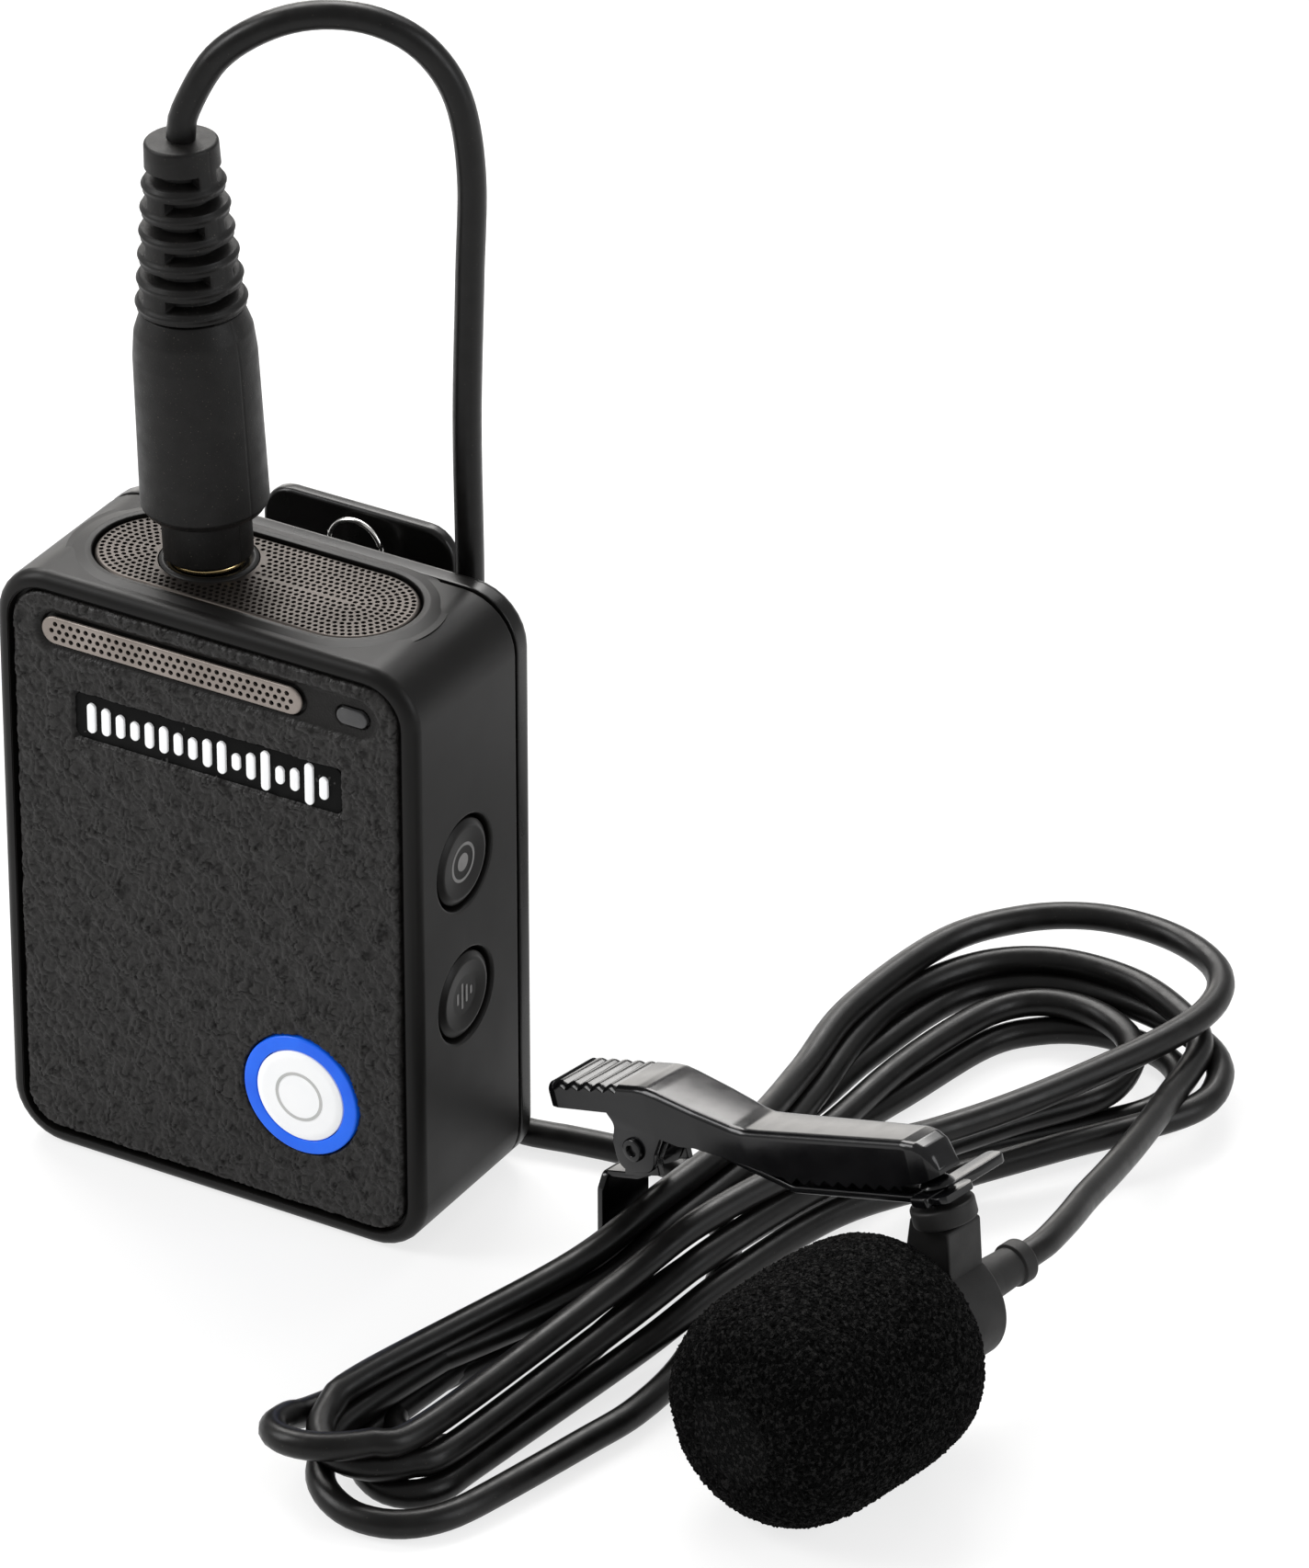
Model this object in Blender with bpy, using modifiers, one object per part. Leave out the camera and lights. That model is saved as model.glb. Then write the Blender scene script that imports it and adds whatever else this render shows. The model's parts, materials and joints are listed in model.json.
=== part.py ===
"""Clip-on wireless transmitter with a plugged-in lavalier microphone.

Metres, +Z up. The origin is the centre of the transmitter's flat bottom; +X runs to the
right along its front, +Y to its back. Run with: blender --background --python part.py
"""
import math

import bmesh
import bpy
from mathutils import Matrix, Vector

MM = 0.001
GAP = 0.3 * MM                      # clearance between pieces that touch

# ---- transmitter case ----
CASE_W = 37.0 * MM
CASE_H = 50.0 * MM
FRONT_Y = -8.0 * MM
SEAM_Y = 6.2 * MM                   # front shell ends, rear cover begins
BACK_Y = 8.4 * MM
CORNER_R = 4.5 * MM
SCREW_HOLE_R = 0.95 * MM
WALL = 1.5 * MM
ROOF = 2.4 * MM                     # top wall, which carries the grille and the jack
EDGE_R = 1.0 * MM
INLAY_MARGIN = 1.3 * MM
RECESS = 0.8 * MM                   # depth of the front recess that holds the leather

# ---- controls ----
POWER_X, POWER_Z, POWER_R = 7.9 * MM, 11.4 * MM, 3.8 * MM
RING_R = 5.0 * MM
SIDE_Y, SIDE_R = -1.3 * MM, 3.45 * MM
SIDE_Z = {"rec_button": 31.5 * MM, "noise_cut_button": 20.0 * MM}

# ---- plug and jack ----
JACK_X, JACK_Y = -4.75 * MM, 0.5 * MM
PIN_R = 1.75 * MM                   # 3.5 mm plug
PLUG_LEAN = math.radians(-2.6)
BARREL_R, NECK_R = 4.75 * MM, 3.4 * MM
BOOT_TOP = 34.5 * MM                # above the case top, along the plug
BOOT_CAP = 2.1 * MM
RIB_PITCH = 1.85 * MM

# ---- belt clip ----
CLIP_W = 17.0 * MM
CLIP_TOP = 49.3 * MM
HINGE_Y, HINGE_Z = 11.4 * MM, 36.0 * MM
BELT_PIN_R = 0.75 * MM
RUNNING = 0.1 * MM                  # radial play of a pin in its bores

# ---- cord ----
CORD_R = 1.1 * MM
RISER_X, RISER_Y = 12.1 * MM, 10.5 * MM
SPLIT_Z = 10.0 * MM                 # riser above, floor lead below
CORD_STEP = 4.4 * CORD_R            # between the points of a cord's line

# ---- microphone, lying on its windscreen ----
MIC_X, MIC_Y = 59.8 * MM, -18.8 * MM
MIC_TURN = math.radians(-11.2)      # turns the microphone's own +Y away from the row's +Y
FOAM_R, FOAM_L = 9.25 * MM, 10.55 * MM
BODY_R = 3.5 * MM
RING_OUT_R = 4.55 * MM
RING_FROM, RING_TO = 10.9 * MM, 14.9 * MM
RELIEF_END = 21.8 * MM

# ---- tie clip, in its own frame at the hinge pin ----
PIN_H, PIN_S, PIN_UP = -27.8 * MM, 12.6 * MM, 3.45 * MM
CLIP_TILT = math.radians(-19.0)
JAW_W, BEND_W, NOSE_W = 5.3 * MM, 4.3 * MM, 3.6 * MM
TAPER_L = 20.0 * MM                 # length over which the jaw narrows to its nose
TEETH, TOOTH_PITCH = 9, 1.4         # pitch in millimetres
SHEET = 0.6 * MM
RIVET_P = 28.2 * MM
CLIP_PIN_R = 0.65 * MM
RIVET_BORE_R = 0.95 * MM
ARM_HALF = 1.9 * MM                 # half width of the holder's arm
LEG_H = -31.0 * MM                  # inner face of the lower jaw's leg

# ---- hank, on the floor, in the microphone's axes ----
HANK_H = 8.0 * MM

PARTS = "lavalier_microphone_set"
TOOLS = "cutters"


# ------------------------------------------------------------------ scene and helpers
def clear_scene():
    for obj in list(bpy.data.objects):
        bpy.data.objects.remove(obj, do_unlink=True)


def collection(name):
    found = bpy.data.collections.get(name)
    if found is None:
        found = bpy.data.collections.new(name)
        bpy.context.scene.collection.children.link(found)
    return found


def material(name, colour, roughness, metallic=0.0):
    mat = bpy.data.materials.get(name) or bpy.data.materials.new(name)
    mat.use_nodes = True
    shader = mat.node_tree.nodes["Principled BSDF"]
    shader.inputs["Base Color"].default_value = (*colour, 1.0)
    shader.inputs["Roughness"].default_value = roughness
    shader.inputs["Metallic"].default_value = metallic
    return mat


FINISH = {
    "case": ((0.018, 0.017, 0.017), 0.45, 0.0),
    "leather": ((0.022, 0.021, 0.021), 0.7, 0.0),
    "grille": ((0.16, 0.145, 0.135), 0.35, 1.0),
    "white": ((0.82, 0.83, 0.84), 0.3, 0.0),
    "blue": ((0.01, 0.12, 0.85), 0.3, 0.0),
    "smoke": ((0.10, 0.10, 0.10), 0.2, 0.0),
    "rubber": ((0.02, 0.02, 0.02), 0.75, 0.0),
    "cord": ((0.012, 0.012, 0.012), 0.5, 0.0),
    "gold": ((0.80, 0.58, 0.25), 0.25, 1.0),
    "steel": ((0.60, 0.60, 0.60), 0.25, 1.0),
    "black_metal": ((0.012, 0.012, 0.013), 0.2, 0.5),
    "board": ((0.01, 0.10, 0.04), 0.5, 0.0),
    "cell": ((0.35, 0.36, 0.38), 0.4, 0.3),
    "foam": ((0.006, 0.006, 0.006), 0.95, 0.0),
    "grey_plastic": ((0.045, 0.045, 0.045), 0.6, 0.0),
}


def add(name, mesh, finish, parent=None, smooth=True):
    obj = bpy.data.objects.new(name, mesh)
    collection(PARTS).objects.link(obj)
    obj.parent = parent
    if finish:
        mesh.materials.append(material(finish, *FINISH[finish]))
    if smooth and isinstance(mesh, bpy.types.Mesh):
        mesh.shade_smooth()
        mesh.set_sharp_from_angle(angle=math.radians(35))
    return obj


def empty(name, location, rotation=(0, 0, 0), parent=None):
    obj = bpy.data.objects.new(name, None)
    obj.location = location
    obj.rotation_euler = rotation
    obj.parent = parent
    collection(PARTS).objects.link(obj)
    return obj


def to_mesh(bm, name):
    bmesh.ops.recalc_face_normals(bm, faces=bm.faces)
    mesh = bpy.data.meshes.new(name)
    bm.to_mesh(mesh)
    bm.free()
    return mesh


def axis_frame(start, end):
    """A frame at the middle of start-end whose Z runs along it."""
    start, end = Vector(start), Vector(end)
    turn = (end - start).to_track_quat("Z", "Y").to_matrix().to_4x4()
    return Matrix.Translation((start + end) / 2) @ turn, (end - start).length


def cylinder(name, start, end, radius, finish=None, parent=None, sides=24, tip=None):
    frame, length = axis_frame(start, end)
    bm = bmesh.new()
    bmesh.ops.create_cone(bm, cap_ends=True, segments=sides, radius1=radius,
                          radius2=radius if tip is None else tip, depth=length, matrix=frame)
    return add(name, to_mesh(bm, name), finish, parent)


def slab(name, low, high, finish=None, parent=None, axis=None, radius=0.0, steps=6,
         rim=None, rim_r=0.0, rim_steps=2):
    """A box from low to high. Its edges along axis are rounded by radius, and the rim of
    its faces at the end(s) named by rim (-1, +1) of that axis by rim_r."""
    low, high = Vector(low), Vector(high)
    bm = bmesh.new()
    bmesh.ops.create_cube(bm, size=1.0)
    bmesh.ops.scale(bm, vec=high - low, verts=bm.verts)
    bmesh.ops.translate(bm, vec=(low + high) / 2, verts=bm.verts)
    if radius:
        along = [e for e in bm.edges
                 if abs((e.verts[0].co - e.verts[1].co).normalized()[axis]) > 0.99]
        bmesh.ops.bevel(bm, geom=along, offset=radius, segments=steps, profile=0.5,
                        affect="EDGES", clamp_overlap=True)
    if rim:
        ends = {-1: low[axis], 1: high[axis]}
        rims = [e for e in bm.edges for side in rim
                if all(abs(v.co[axis] - ends[side]) < 1e-7 for v in e.verts)]
        bmesh.ops.bevel(bm, geom=rims, offset=rim_r, segments=rim_steps, profile=0.5,
                        affect="EDGES", clamp_overlap=True)
    return add(name, to_mesh(bm, name), finish, parent)


def outline(name, points, low, high, finish=None, parent=None):
    """A flat outline in local XY, extruded from z = low to z = high."""
    bm = bmesh.new()
    face = bm.faces.new([bm.verts.new((x, y, low)) for x, y in points])
    grown = bmesh.ops.extrude_face_region(bm, geom=[face])
    verts = [v for v in grown["geom"] if isinstance(v, bmesh.types.BMVert)]
    bmesh.ops.translate(bm, vec=(0, 0, high - low), verts=verts)
    return add(name, to_mesh(bm, name), finish, parent)


def turned(name, profile, finish, parent=None, steps=24, closed=False):
    """A profile of (radius, z), top to bottom on its outer side, turned about local Z."""
    bm = bmesh.new()
    verts = [bm.verts.new((r, 0.0, z)) for r, z in profile]
    for a, b in zip(verts, verts[1:]):
        bm.edges.new((a, b))
    if closed:
        bm.edges.new((verts[-1], verts[0]))
    mesh = bpy.data.meshes.new(name)
    bm.to_mesh(mesh)
    bm.free()
    obj = add(name, mesh, finish, parent)
    screw = obj.modifiers.new("turn", "SCREW")
    screw.steps = screw.render_steps = steps
    screw.use_merge_vertices = True
    screw.merge_threshold = 1e-6
    return obj


def wire(name, points, radius, finish, parent=None):
    curve = bpy.data.curves.new(name, "CURVE")
    curve.dimensions = "3D"
    curve.bevel_depth = radius
    curve.bevel_resolution = 2
    curve.use_fill_caps = True
    spline = curve.splines.new("POLY")
    spline.points.add(len(points) - 1)
    for point, at in zip(spline.points, points):
        point.co = (*at, 1.0)
    return add(name, curve, finish, parent, smooth=False)


def combine(target, tool, operation):
    boolean = target.modifiers.new(tool.name, "BOOLEAN")
    boolean.operation = operation
    boolean.object = tool
    boolean.solver = "EXACT"
    collection(PARTS).objects.unlink(tool)
    collection(TOOLS).objects.link(tool)
    tool.hide_render = True
    tool.display_type = "WIRE"


def cut(target, *tools):
    for tool in tools:
        combine(target, tool, "DIFFERENCE")


def fuse(target, *tools):
    for tool in tools:
        combine(target, tool, "UNION")


def arc(centre, radius, start, end, count):
    """Points on an arc in the plane, angles in degrees."""
    angles = [math.radians(start + (end - start) * i / (count - 1)) for i in range(count)]
    return [(centre[0] + radius * math.cos(a), centre[1] + radius * math.sin(a)) for a in angles]


def smooth_route(knots, spacing):
    """Points a spacing apart on a Catmull-Rom curve through the knots."""
    knots = [Vector(k) for k in knots]
    ends = [knots[0] * 2 - knots[1]] + knots + [knots[-1] * 2 - knots[-2]]
    fine = []
    for a, b, c, d in zip(ends, ends[1:], ends[2:], ends[3:]):
        for i in range(20):
            t = i / 20
            fine.append(0.5 * (2 * b + (c - a) * t + (2 * a - 5 * b + 4 * c - d) * t * t
                               + (3 * b - a - 3 * c + d) * t ** 3))
    fine.append(knots[-1])
    lengths = [0.0]
    for a, b in zip(fine, fine[1:]):
        lengths.append(lengths[-1] + (b - a).length)
    count = max(2, round(lengths[-1] / spacing))
    points, j = [], 0
    for i in range(count + 1):
        at = lengths[-1] * i / count
        while j < len(lengths) - 2 and lengths[j + 1] < at:
            j += 1
        share = (at - lengths[j]) / (lengths[j + 1] - lengths[j])
        points.append(fine[j].lerp(fine[j + 1], share))
    return points


# ------------------------------------------------------------------ transmitter
SCREWS = [(x, z) for x in (-14.4 * MM, 14.4 * MM) for z in (4.6 * MM, 43.0 * MM)]


def front_housing():
    half = CASE_W / 2
    case = slab("front_housing", (-half, FRONT_Y, 0), (half, SEAM_Y, CASE_H), "case",
                axis=1, radius=CORNER_R, rim=(-1,), rim_r=EDGE_R)
    cut(case, slab("case_cavity", (-half + WALL, FRONT_Y + RECESS + WALL, WALL),
                   (half - WALL, SEAM_Y + MM, CASE_H - ROOF),
                   axis=1, radius=CORNER_R - WALL, steps=4))
    for i, (x, z) in enumerate(SCREWS):
        fuse(case, cylinder(f"case_post_{i}", (x, FRONT_Y + RECESS + MM, z),
                            (x, SEAM_Y - 0.1 * MM, z), 1.9 * MM, sides=16))
    for i, (x, z) in enumerate(SCREWS):
        cut(case, cylinder(f"case_pilot_{i}", (x, 1.5 * MM, z), (x, SEAM_Y + MM, z),
                           SCREW_HOLE_R, sides=12))
    edge = INLAY_MARGIN
    cut(case, slab("inlay_recess", (-half + edge, FRONT_Y - MM, edge),
                   (half - edge, FRONT_Y + RECESS, CASE_H - edge), axis=1,
                   radius=CORNER_R - edge, steps=5))
    cut(case, cylinder("power_bore", (POWER_X, FRONT_Y - MM, POWER_Z),
                       (POWER_X, FRONT_Y + 4 * MM, POWER_Z), POWER_R + GAP, sides=32))
    for name, z in SIDE_Z.items():
        cut(case, cylinder(f"{name}_bore", (half - 4 * MM, SIDE_Y, z), (half + MM, SIDE_Y, z),
                           SIDE_R + GAP, sides=32))
    cut(case, slab("roof_recess", (-13.9 * MM, -5.5 * MM, CASE_H - 1.4 * MM),
                   (13.5 * MM, 5.5 * MM, CASE_H + MM), axis=2, radius=5.49 * MM, steps=6))
    cut(case, cylinder("jack_bore", (JACK_X, JACK_Y, CASE_H - 4 * MM),
                       (JACK_X, JACK_Y, CASE_H + MM), 3.75 * MM, sides=28))
    cut(case, cylinder("sound_port", (7 * MM, 0, CASE_H - 4 * MM), (7 * MM, 0, CASE_H + MM),
                       1.0 * MM, sides=12))
    cut(case, slab("charge_mouth", (-half - MM, -2.0 * MM, 7.1 * MM),
                   (-half + 3 * MM, 2.0 * MM, 16.9 * MM), axis=0, radius=1.99 * MM, steps=4))
    return case


def rear_cover():
    half = CASE_W / 2
    cover = slab("rear_cover", (-half, SEAM_Y + GAP, 0), (half, BACK_Y, CASE_H), "case",
                 axis=1, radius=CORNER_R, rim=(1,), rim_r=0.8 * MM)
    for side in (-1, 1):
        x = side * 5.4 * MM
        ear = slab(f"cover_ear_{side}", (x - 0.7 * MM, BACK_Y - MM, HINGE_Z - 1.6 * MM),
                   (x + 0.7 * MM, HINGE_Y + 1.3 * MM, HINGE_Z + 1.6 * MM), axis=0,
                   radius=1.2 * MM, steps=3)
        fuse(cover, ear)
    cut(cover, cylinder("cover_pin_bore", (-7 * MM, HINGE_Y, HINGE_Z), (7 * MM, HINGE_Y, HINGE_Z),
                        BELT_PIN_R + RUNNING, sides=16))
    for i, (x, z) in enumerate(SCREWS):
        cut(cover, cylinder(f"cover_bore_{i}", (x, SEAM_Y - MM, z), (x, BACK_Y + MM, z),
                            SCREW_HOLE_R, sides=12))
        cut(cover, cylinder(f"cover_sink_{i}", (x, BACK_Y - 1.0 * MM, z), (x, BACK_Y + MM, z),
                            1.6 * MM, sides=16))


def front_pieces():
    half = CASE_W / 2
    edge = INLAY_MARGIN + GAP
    back = FRONT_Y + RECESS - GAP
    leather = slab("leather_inlay", (-half + edge, FRONT_Y, edge), (half - edge, back, CASE_H - edge),
                   "leather", axis=1, radius=CORNER_R - edge, steps=5)
    grille = ((-14.2 * MM, 44.35 * MM), (8.7 * MM, 46.65 * MM))
    lens = ((11.64 * MM, 44.82 * MM), (14.29 * MM, 46.18 * MM))
    badge = ((-11.6 * MM, 36.8 * MM), (11.9 * MM, 41.2 * MM))
    for name, ((x0, z0), (x1, z1)), finish, round_r in (
            ("slot_grille", grille, "grille", 1.14 * MM),
            ("status_lens", lens, "smoke", 0.67 * MM),
            ("front_badge", badge, "smoke", 0.8 * MM)):
        slab(name, (x0, FRONT_Y, z0), (x1, back, z1), finish, axis=1, radius=round_r, steps=4)
        cut(leather, slab(f"{name}_window", (x0 - GAP, FRONT_Y - MM, z0 - GAP),
                          (x1 + GAP, back + MM, z1 + GAP), axis=1, radius=round_r, steps=4))
    cut(leather, cylinder("ring_window", (POWER_X, FRONT_Y - MM, POWER_Z),
                          (POWER_X, back + MM, POWER_Z), RING_R + GAP, sides=40))


def power_controls():
    hub = empty("power_axis", (POWER_X, FRONT_Y, POWER_Z), (math.radians(90), 0, 0))
    turned("power_button", [(0, 0.25 * MM), (POWER_R - 0.3 * MM, 0.2 * MM), (POWER_R, 0),
                            (POWER_R, -1.6 * MM), (0, -1.6 * MM)], "white", hub, steps=32)
    inner = POWER_R + GAP
    turned("power_light_ring", [(inner, 0.1 * MM), (RING_R - 0.15 * MM, 0.1 * MM), (RING_R, 0),
                                (RING_R, -RECESS + GAP), (inner, -RECESS + GAP)],
           "blue", hub, steps=40, closed=True)


def side_controls():
    for name, z in SIDE_Z.items():
        hub = empty(f"{name}_axis", (CASE_W / 2, SIDE_Y, z), (0, math.radians(90), 0))
        turned(name, [(0, -0.15 * MM), (1.8 * MM, -0.1 * MM), (SIDE_R - 0.5 * MM, 0.05 * MM),
                      (SIDE_R, -0.3 * MM), (SIDE_R, -2.0 * MM), (0, -2.0 * MM)], "case", hub, steps=32)


def top_pieces():
    grille = slab("top_grille", (-13.6 * MM, -5.2 * MM, CASE_H - 1.1 * MM),
                  (13.2 * MM, 5.2 * MM, CASE_H), "grille", axis=2, radius=5.0 * MM, steps=6,
                  rim=(1,), rim_r=0.3 * MM, rim_steps=1)
    cut(grille, cylinder("grille_jack_hole", (JACK_X, JACK_Y, CASE_H - 3 * MM),
                         (JACK_X, JACK_Y, CASE_H + MM), 3.8 * MM, sides=28))
    top = CASE_H - 0.35 * MM
    socket = cylinder("jack_socket", (JACK_X, JACK_Y, CASE_H - 6 * MM), (JACK_X, JACK_Y, top),
                      3.4 * MM, "black_metal", sides=28)
    fuse(socket, slab("jack_block", (JACK_X - 3.2 * MM, JACK_Y - 2.9 * MM, 34.2 * MM),
                      (JACK_X + 3.2 * MM, JACK_Y + 3.0 * MM, 45.0 * MM)))
    cut(socket, cylinder("jack_throat", (JACK_X, JACK_Y, 35.0 * MM), (JACK_X, JACK_Y, CASE_H + MM),
                         PIN_R + 0.25 * MM, sides=24))


def inside_pieces():
    slab("circuit_board", (-12.0 * MM, -3.9 * MM, 3 * MM), (12.0 * MM, -2.9 * MM, 44 * MM), "board")
    slab("battery_cell", (-10.5 * MM, -2.2 * MM, 3 * MM), (11.0 * MM, 5.4 * MM, 32.5 * MM), "cell",
         axis=2, radius=1.5 * MM, steps=3)
    slab("radio_antenna", (1.5 * MM, -2.5 * MM, 35 * MM), (9.5 * MM, -1.6 * MM, 38 * MM), "white")
    cylinder("ambient_microphone", (7 * MM, 0, 44.6 * MM), (7 * MM, 0, CASE_H - ROOF - GAP),
             2.2 * MM, "steel", sides=20)
    slab("power_switch", (POWER_X - 2 * MM, -5.6 * MM, POWER_Z - 2 * MM),
         (POWER_X + 2 * MM, -4.2 * MM, POWER_Z + 2 * MM), "steel")
    for name, z in SIDE_Z.items():
        slab(name.replace("button", "switch"), (12.3 * MM, SIDE_Y - 2 * MM, z - 2 * MM),
             (15.7 * MM, SIDE_Y + 2 * MM, z + 2 * MM), "steel")
    port = slab("charging_port", (-18.3 * MM, -1.6 * MM, 7.5 * MM), (-11.4 * MM, 1.6 * MM, 16.5 * MM),
                "steel", axis=0, radius=1.59 * MM, steps=4)
    cut(port, slab("port_mouth", (-19 * MM, -1.3 * MM, 7.8 * MM), (-12.2 * MM, 1.3 * MM, 16.2 * MM),
                   axis=0, radius=1.29 * MM, steps=4))
    fuse(port, slab("port_tongue", (-17.3 * MM, -0.35 * MM, 8.8 * MM),
                    (-12.0 * MM, 0.35 * MM, 15.2 * MM)))
    for i, (x, z) in enumerate(SCREWS):
        hub = empty(f"screw_axis_{i}", (x, BACK_Y - 0.2 * MM, z), (math.radians(-90), 0, 0))
        turned(f"cover_screw_{i + 1}", [(0, 0), (1.2 * MM, 0), (1.2 * MM, -0.5 * MM),
                                        (0.6 * MM, -0.5 * MM), (0.6 * MM, -5.5 * MM), (0, -6 * MM)],
               "steel", hub, steps=12)


def belt_clip():
    """A bent plate on a cross pin: its upper end is the thumb tab, its lower end grips."""
    outer = [(14.9, 49.3), (14.9, 41), (14.3, 36), (12.4, 29), (10.9, 22), (10.5, 14),
             (10.5, 9), (11.6, 5.5)]
    inner = [(10.6, 5.0), (9.2, 8.6), (9.2, 14), (9.6, 22.3), (11.1, 29.3), (13.0, 36.3),
             (13.6, 41), (13.6, 49.3)]
    plate = outline("belt_clip", [(y * MM, z * MM) for y, z in outer + inner],
                    -CLIP_W / 2, CLIP_W / 2, "case")
    plate.rotation_euler = (math.radians(90), 0, math.radians(90))
    for side in (-1, 1):
        x = side * 7.2 * MM
        fuse(plate, slab(f"clip_ear_{side}", (x - 0.6 * MM, HINGE_Y - 1.6 * MM, HINGE_Z - 1.8 * MM),
                         (x + 0.6 * MM, 14.2 * MM, HINGE_Z + 1.8 * MM), axis=0, radius=1.2 * MM,
                         steps=3))
    cut(plate, cylinder("clip_pin_bore", (-9 * MM, HINGE_Y, HINGE_Z), (9 * MM, HINGE_Y, HINGE_Z),
                        BELT_PIN_R + RUNNING, sides=16))
    corner = slab("clip_outline", (-CLIP_W / 2, 5 * MM, 4 * MM), (CLIP_W / 2, 20 * MM, CLIP_TOP),
                  axis=1, radius=2.6 * MM, steps=5)
    combine(plate, corner, "INTERSECT")
    cylinder("belt_clip_pin", (-8.3 * MM, HINGE_Y, HINGE_Z), (8.3 * MM, HINGE_Y, HINGE_Z),
             BELT_PIN_R, "steel", sides=16)
    coil, turns, steps = 1.25 * MM, 3, 10
    left = [(-4.2 * MM + 1.9 * MM * i / (turns * steps),
             HINGE_Y + coil * math.sin(2 * math.pi * i / steps),
             HINGE_Z + coil * math.cos(2 * math.pi * i / steps)) for i in range(turns * steps + 1)]
    bow = [(x, 12.4 * MM, z) for x, z in arc((0.6 * MM, 46.6 * MM), 2.6 * MM, 180, 0, 9)]
    right = [(-x, y, z) for x, y, z in reversed(left)]
    wire("belt_clip_spring", left + bow + right, 0.22 * MM, "steel")


# ------------------------------------------------------------------ plug
def plug():
    foot = empty("plug_axis", (JACK_X, JACK_Y, CASE_H))
    for name, low, high in (("plug_sleeve", -7.4, -0.35), ("plug_ring", -10.4, -8.4)):
        cylinder(name, (0, 0, low * MM), (0, 0, high * MM), PIN_R, "gold", foot, sides=20)
    for name, low, high in (("plug_insulator_upper", -8.1, -7.7),
                            ("plug_insulator_lower", -11.1, -10.7)):
        cylinder(name, (0, 0, low * MM), (0, 0, high * MM), PIN_R, "rubber", foot, sides=20)
    turned("plug_tip", [(0, -11.4 * MM), (1.6 * MM, -11.4 * MM), (1.2 * MM, -12.4 * MM),
                        (1.7 * MM, -13.2 * MM), (0.3 * MM, -14.4 * MM), (0, -14.4 * MM)],
           "gold", foot, steps=20)
    lean = empty("plug_lean", (0, 0, 0), (0, PLUG_LEAN, 0), foot)
    cylinder("plug_contact_ring", (0, 0, 0.0), (0, 0, 0.35 * MM), 2.9 * MM, "gold", lean)
    turned("plug_barrel", [(0, 20.8 * MM), (3.7 * MM, 20.8 * MM), (4.3 * MM, 19.6 * MM),
                           (BARREL_R - 0.1 * MM, 17.6 * MM), (BARREL_R + 0.1 * MM, 4.9 * MM),
                           (BARREL_R - 0.3 * MM, 4.4 * MM), (NECK_R, 4.4 * MM),
                           (NECK_R, 0.7 * MM), (0, 0.7 * MM)], "rubber", lean)
    profile = [(0, BOOT_TOP), (2.8 * MM, BOOT_TOP), (2.85 * MM, BOOT_TOP - BOOT_CAP)]
    ribs = 6
    for i in range(ribs):
        z = BOOT_TOP - BOOT_CAP - i * RIB_PITCH
        r = 2.85 * MM + i * 0.21 * MM
        profile += [(r - 0.8 * MM, z - 0.1 * MM), (r - 0.8 * MM, z - 0.8 * MM), (r, z - 0.9 * MM),
                    (r + 0.1 * MM, z - RIB_PITCH)]
    profile += [(3.9 * MM, 21.1 * MM), (0, 21.1 * MM)]
    turned("plug_boot", profile, "rubber", lean, steps=20)
    return lean


# ------------------------------------------------------------------ cord
def riser_route():
    """From the top of the boot, over the arch and down behind the case."""
    lean = Matrix.Rotation(PLUG_LEAN, 3, "Y")
    top = Vector((JACK_X, JACK_Y, CASE_H)) + lean @ Vector((0, 0, BOOT_TOP + GAP))
    knots = [(-6.0, 0.7, 86.8), (-4.0, 1.8, 91.0), (-0.9, 3.4, 93.6), (2.5, 5.3, 94.7),
             (6.2, 7.3, 94.3), (9.4, 9.0, 92.2), (11.5, 10.2, 88.2), (12.4, 10.5, 82.0),
             (12.15, 10.5, 73.2), (11.8, 10.5, 61.5), (11.9, 10.5, 49.6), (11.9, 10.5, 38.0),
             (12.1, 10.5, 25.0)]
    return [top] + [Vector(k) * MM for k in knots] + [Vector((RISER_X, RISER_Y, SPLIT_Z + GAP))]


def floor_route():
    """Down from the riser, round onto the floor and along it to the hank."""
    knots = [(12.3, 10.4, 5.4), (13.6, 10.2, 2.1), (16.4, 10.3, 1.15), (20.0, 11.0, 1.15),
             (24.5, 11.7, 1.15), (28.2, 11.7, 1.15), (31.3, 10.6, 1.15)]
    return [Vector((RISER_X, RISER_Y, SPLIT_Z))] + [Vector(k) * MM for k in knots]


def mic_lead_route():
    """From the microphone's strain relief to the hank, in the microphone's axes."""
    knots = [(0.0, 22.1, 0.0), (-0.3, 25.0, -0.1), (-1.6, 29.0, -0.6), (-3.4, 33.4, -1.4),
             (-5.3, 38.4, -2.4), (-7.2, 43.2, -3.3)]
    return [Vector(k) * MM for k in knots]


def cords(mic):
    wire("cord_riser", smooth_route(riser_route(), CORD_STEP), CORD_R, "cord")
    wire("cord_floor_lead", smooth_route(floor_route(), CORD_STEP / 2), CORD_R, "cord")
    wire("cord_mic_lead", smooth_route(mic_lead_route(), CORD_STEP), CORD_R, "cord", mic)
    bed = empty("hank_axis", (0, 0, -FOAM_R), parent=mic)
    near = arc((-21.4 * MM, -20.2 * MM), 9.3 * MM, 180, 360, 17)
    far = arc((-22.0 * MM, 54.2 * MM), 13.6 * MM, 0, 180, 17)
    waist = [(-31.0 * MM, 26.0 * MM), (-29.9 * MM, 18.0 * MM), (-29.9 * MM, 7.0 * MM)]
    outline("cord_hank", near + [(-11.4 * MM, 18.0 * MM)] + far + waist, 0, HANK_H, "cord", bed)


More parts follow.
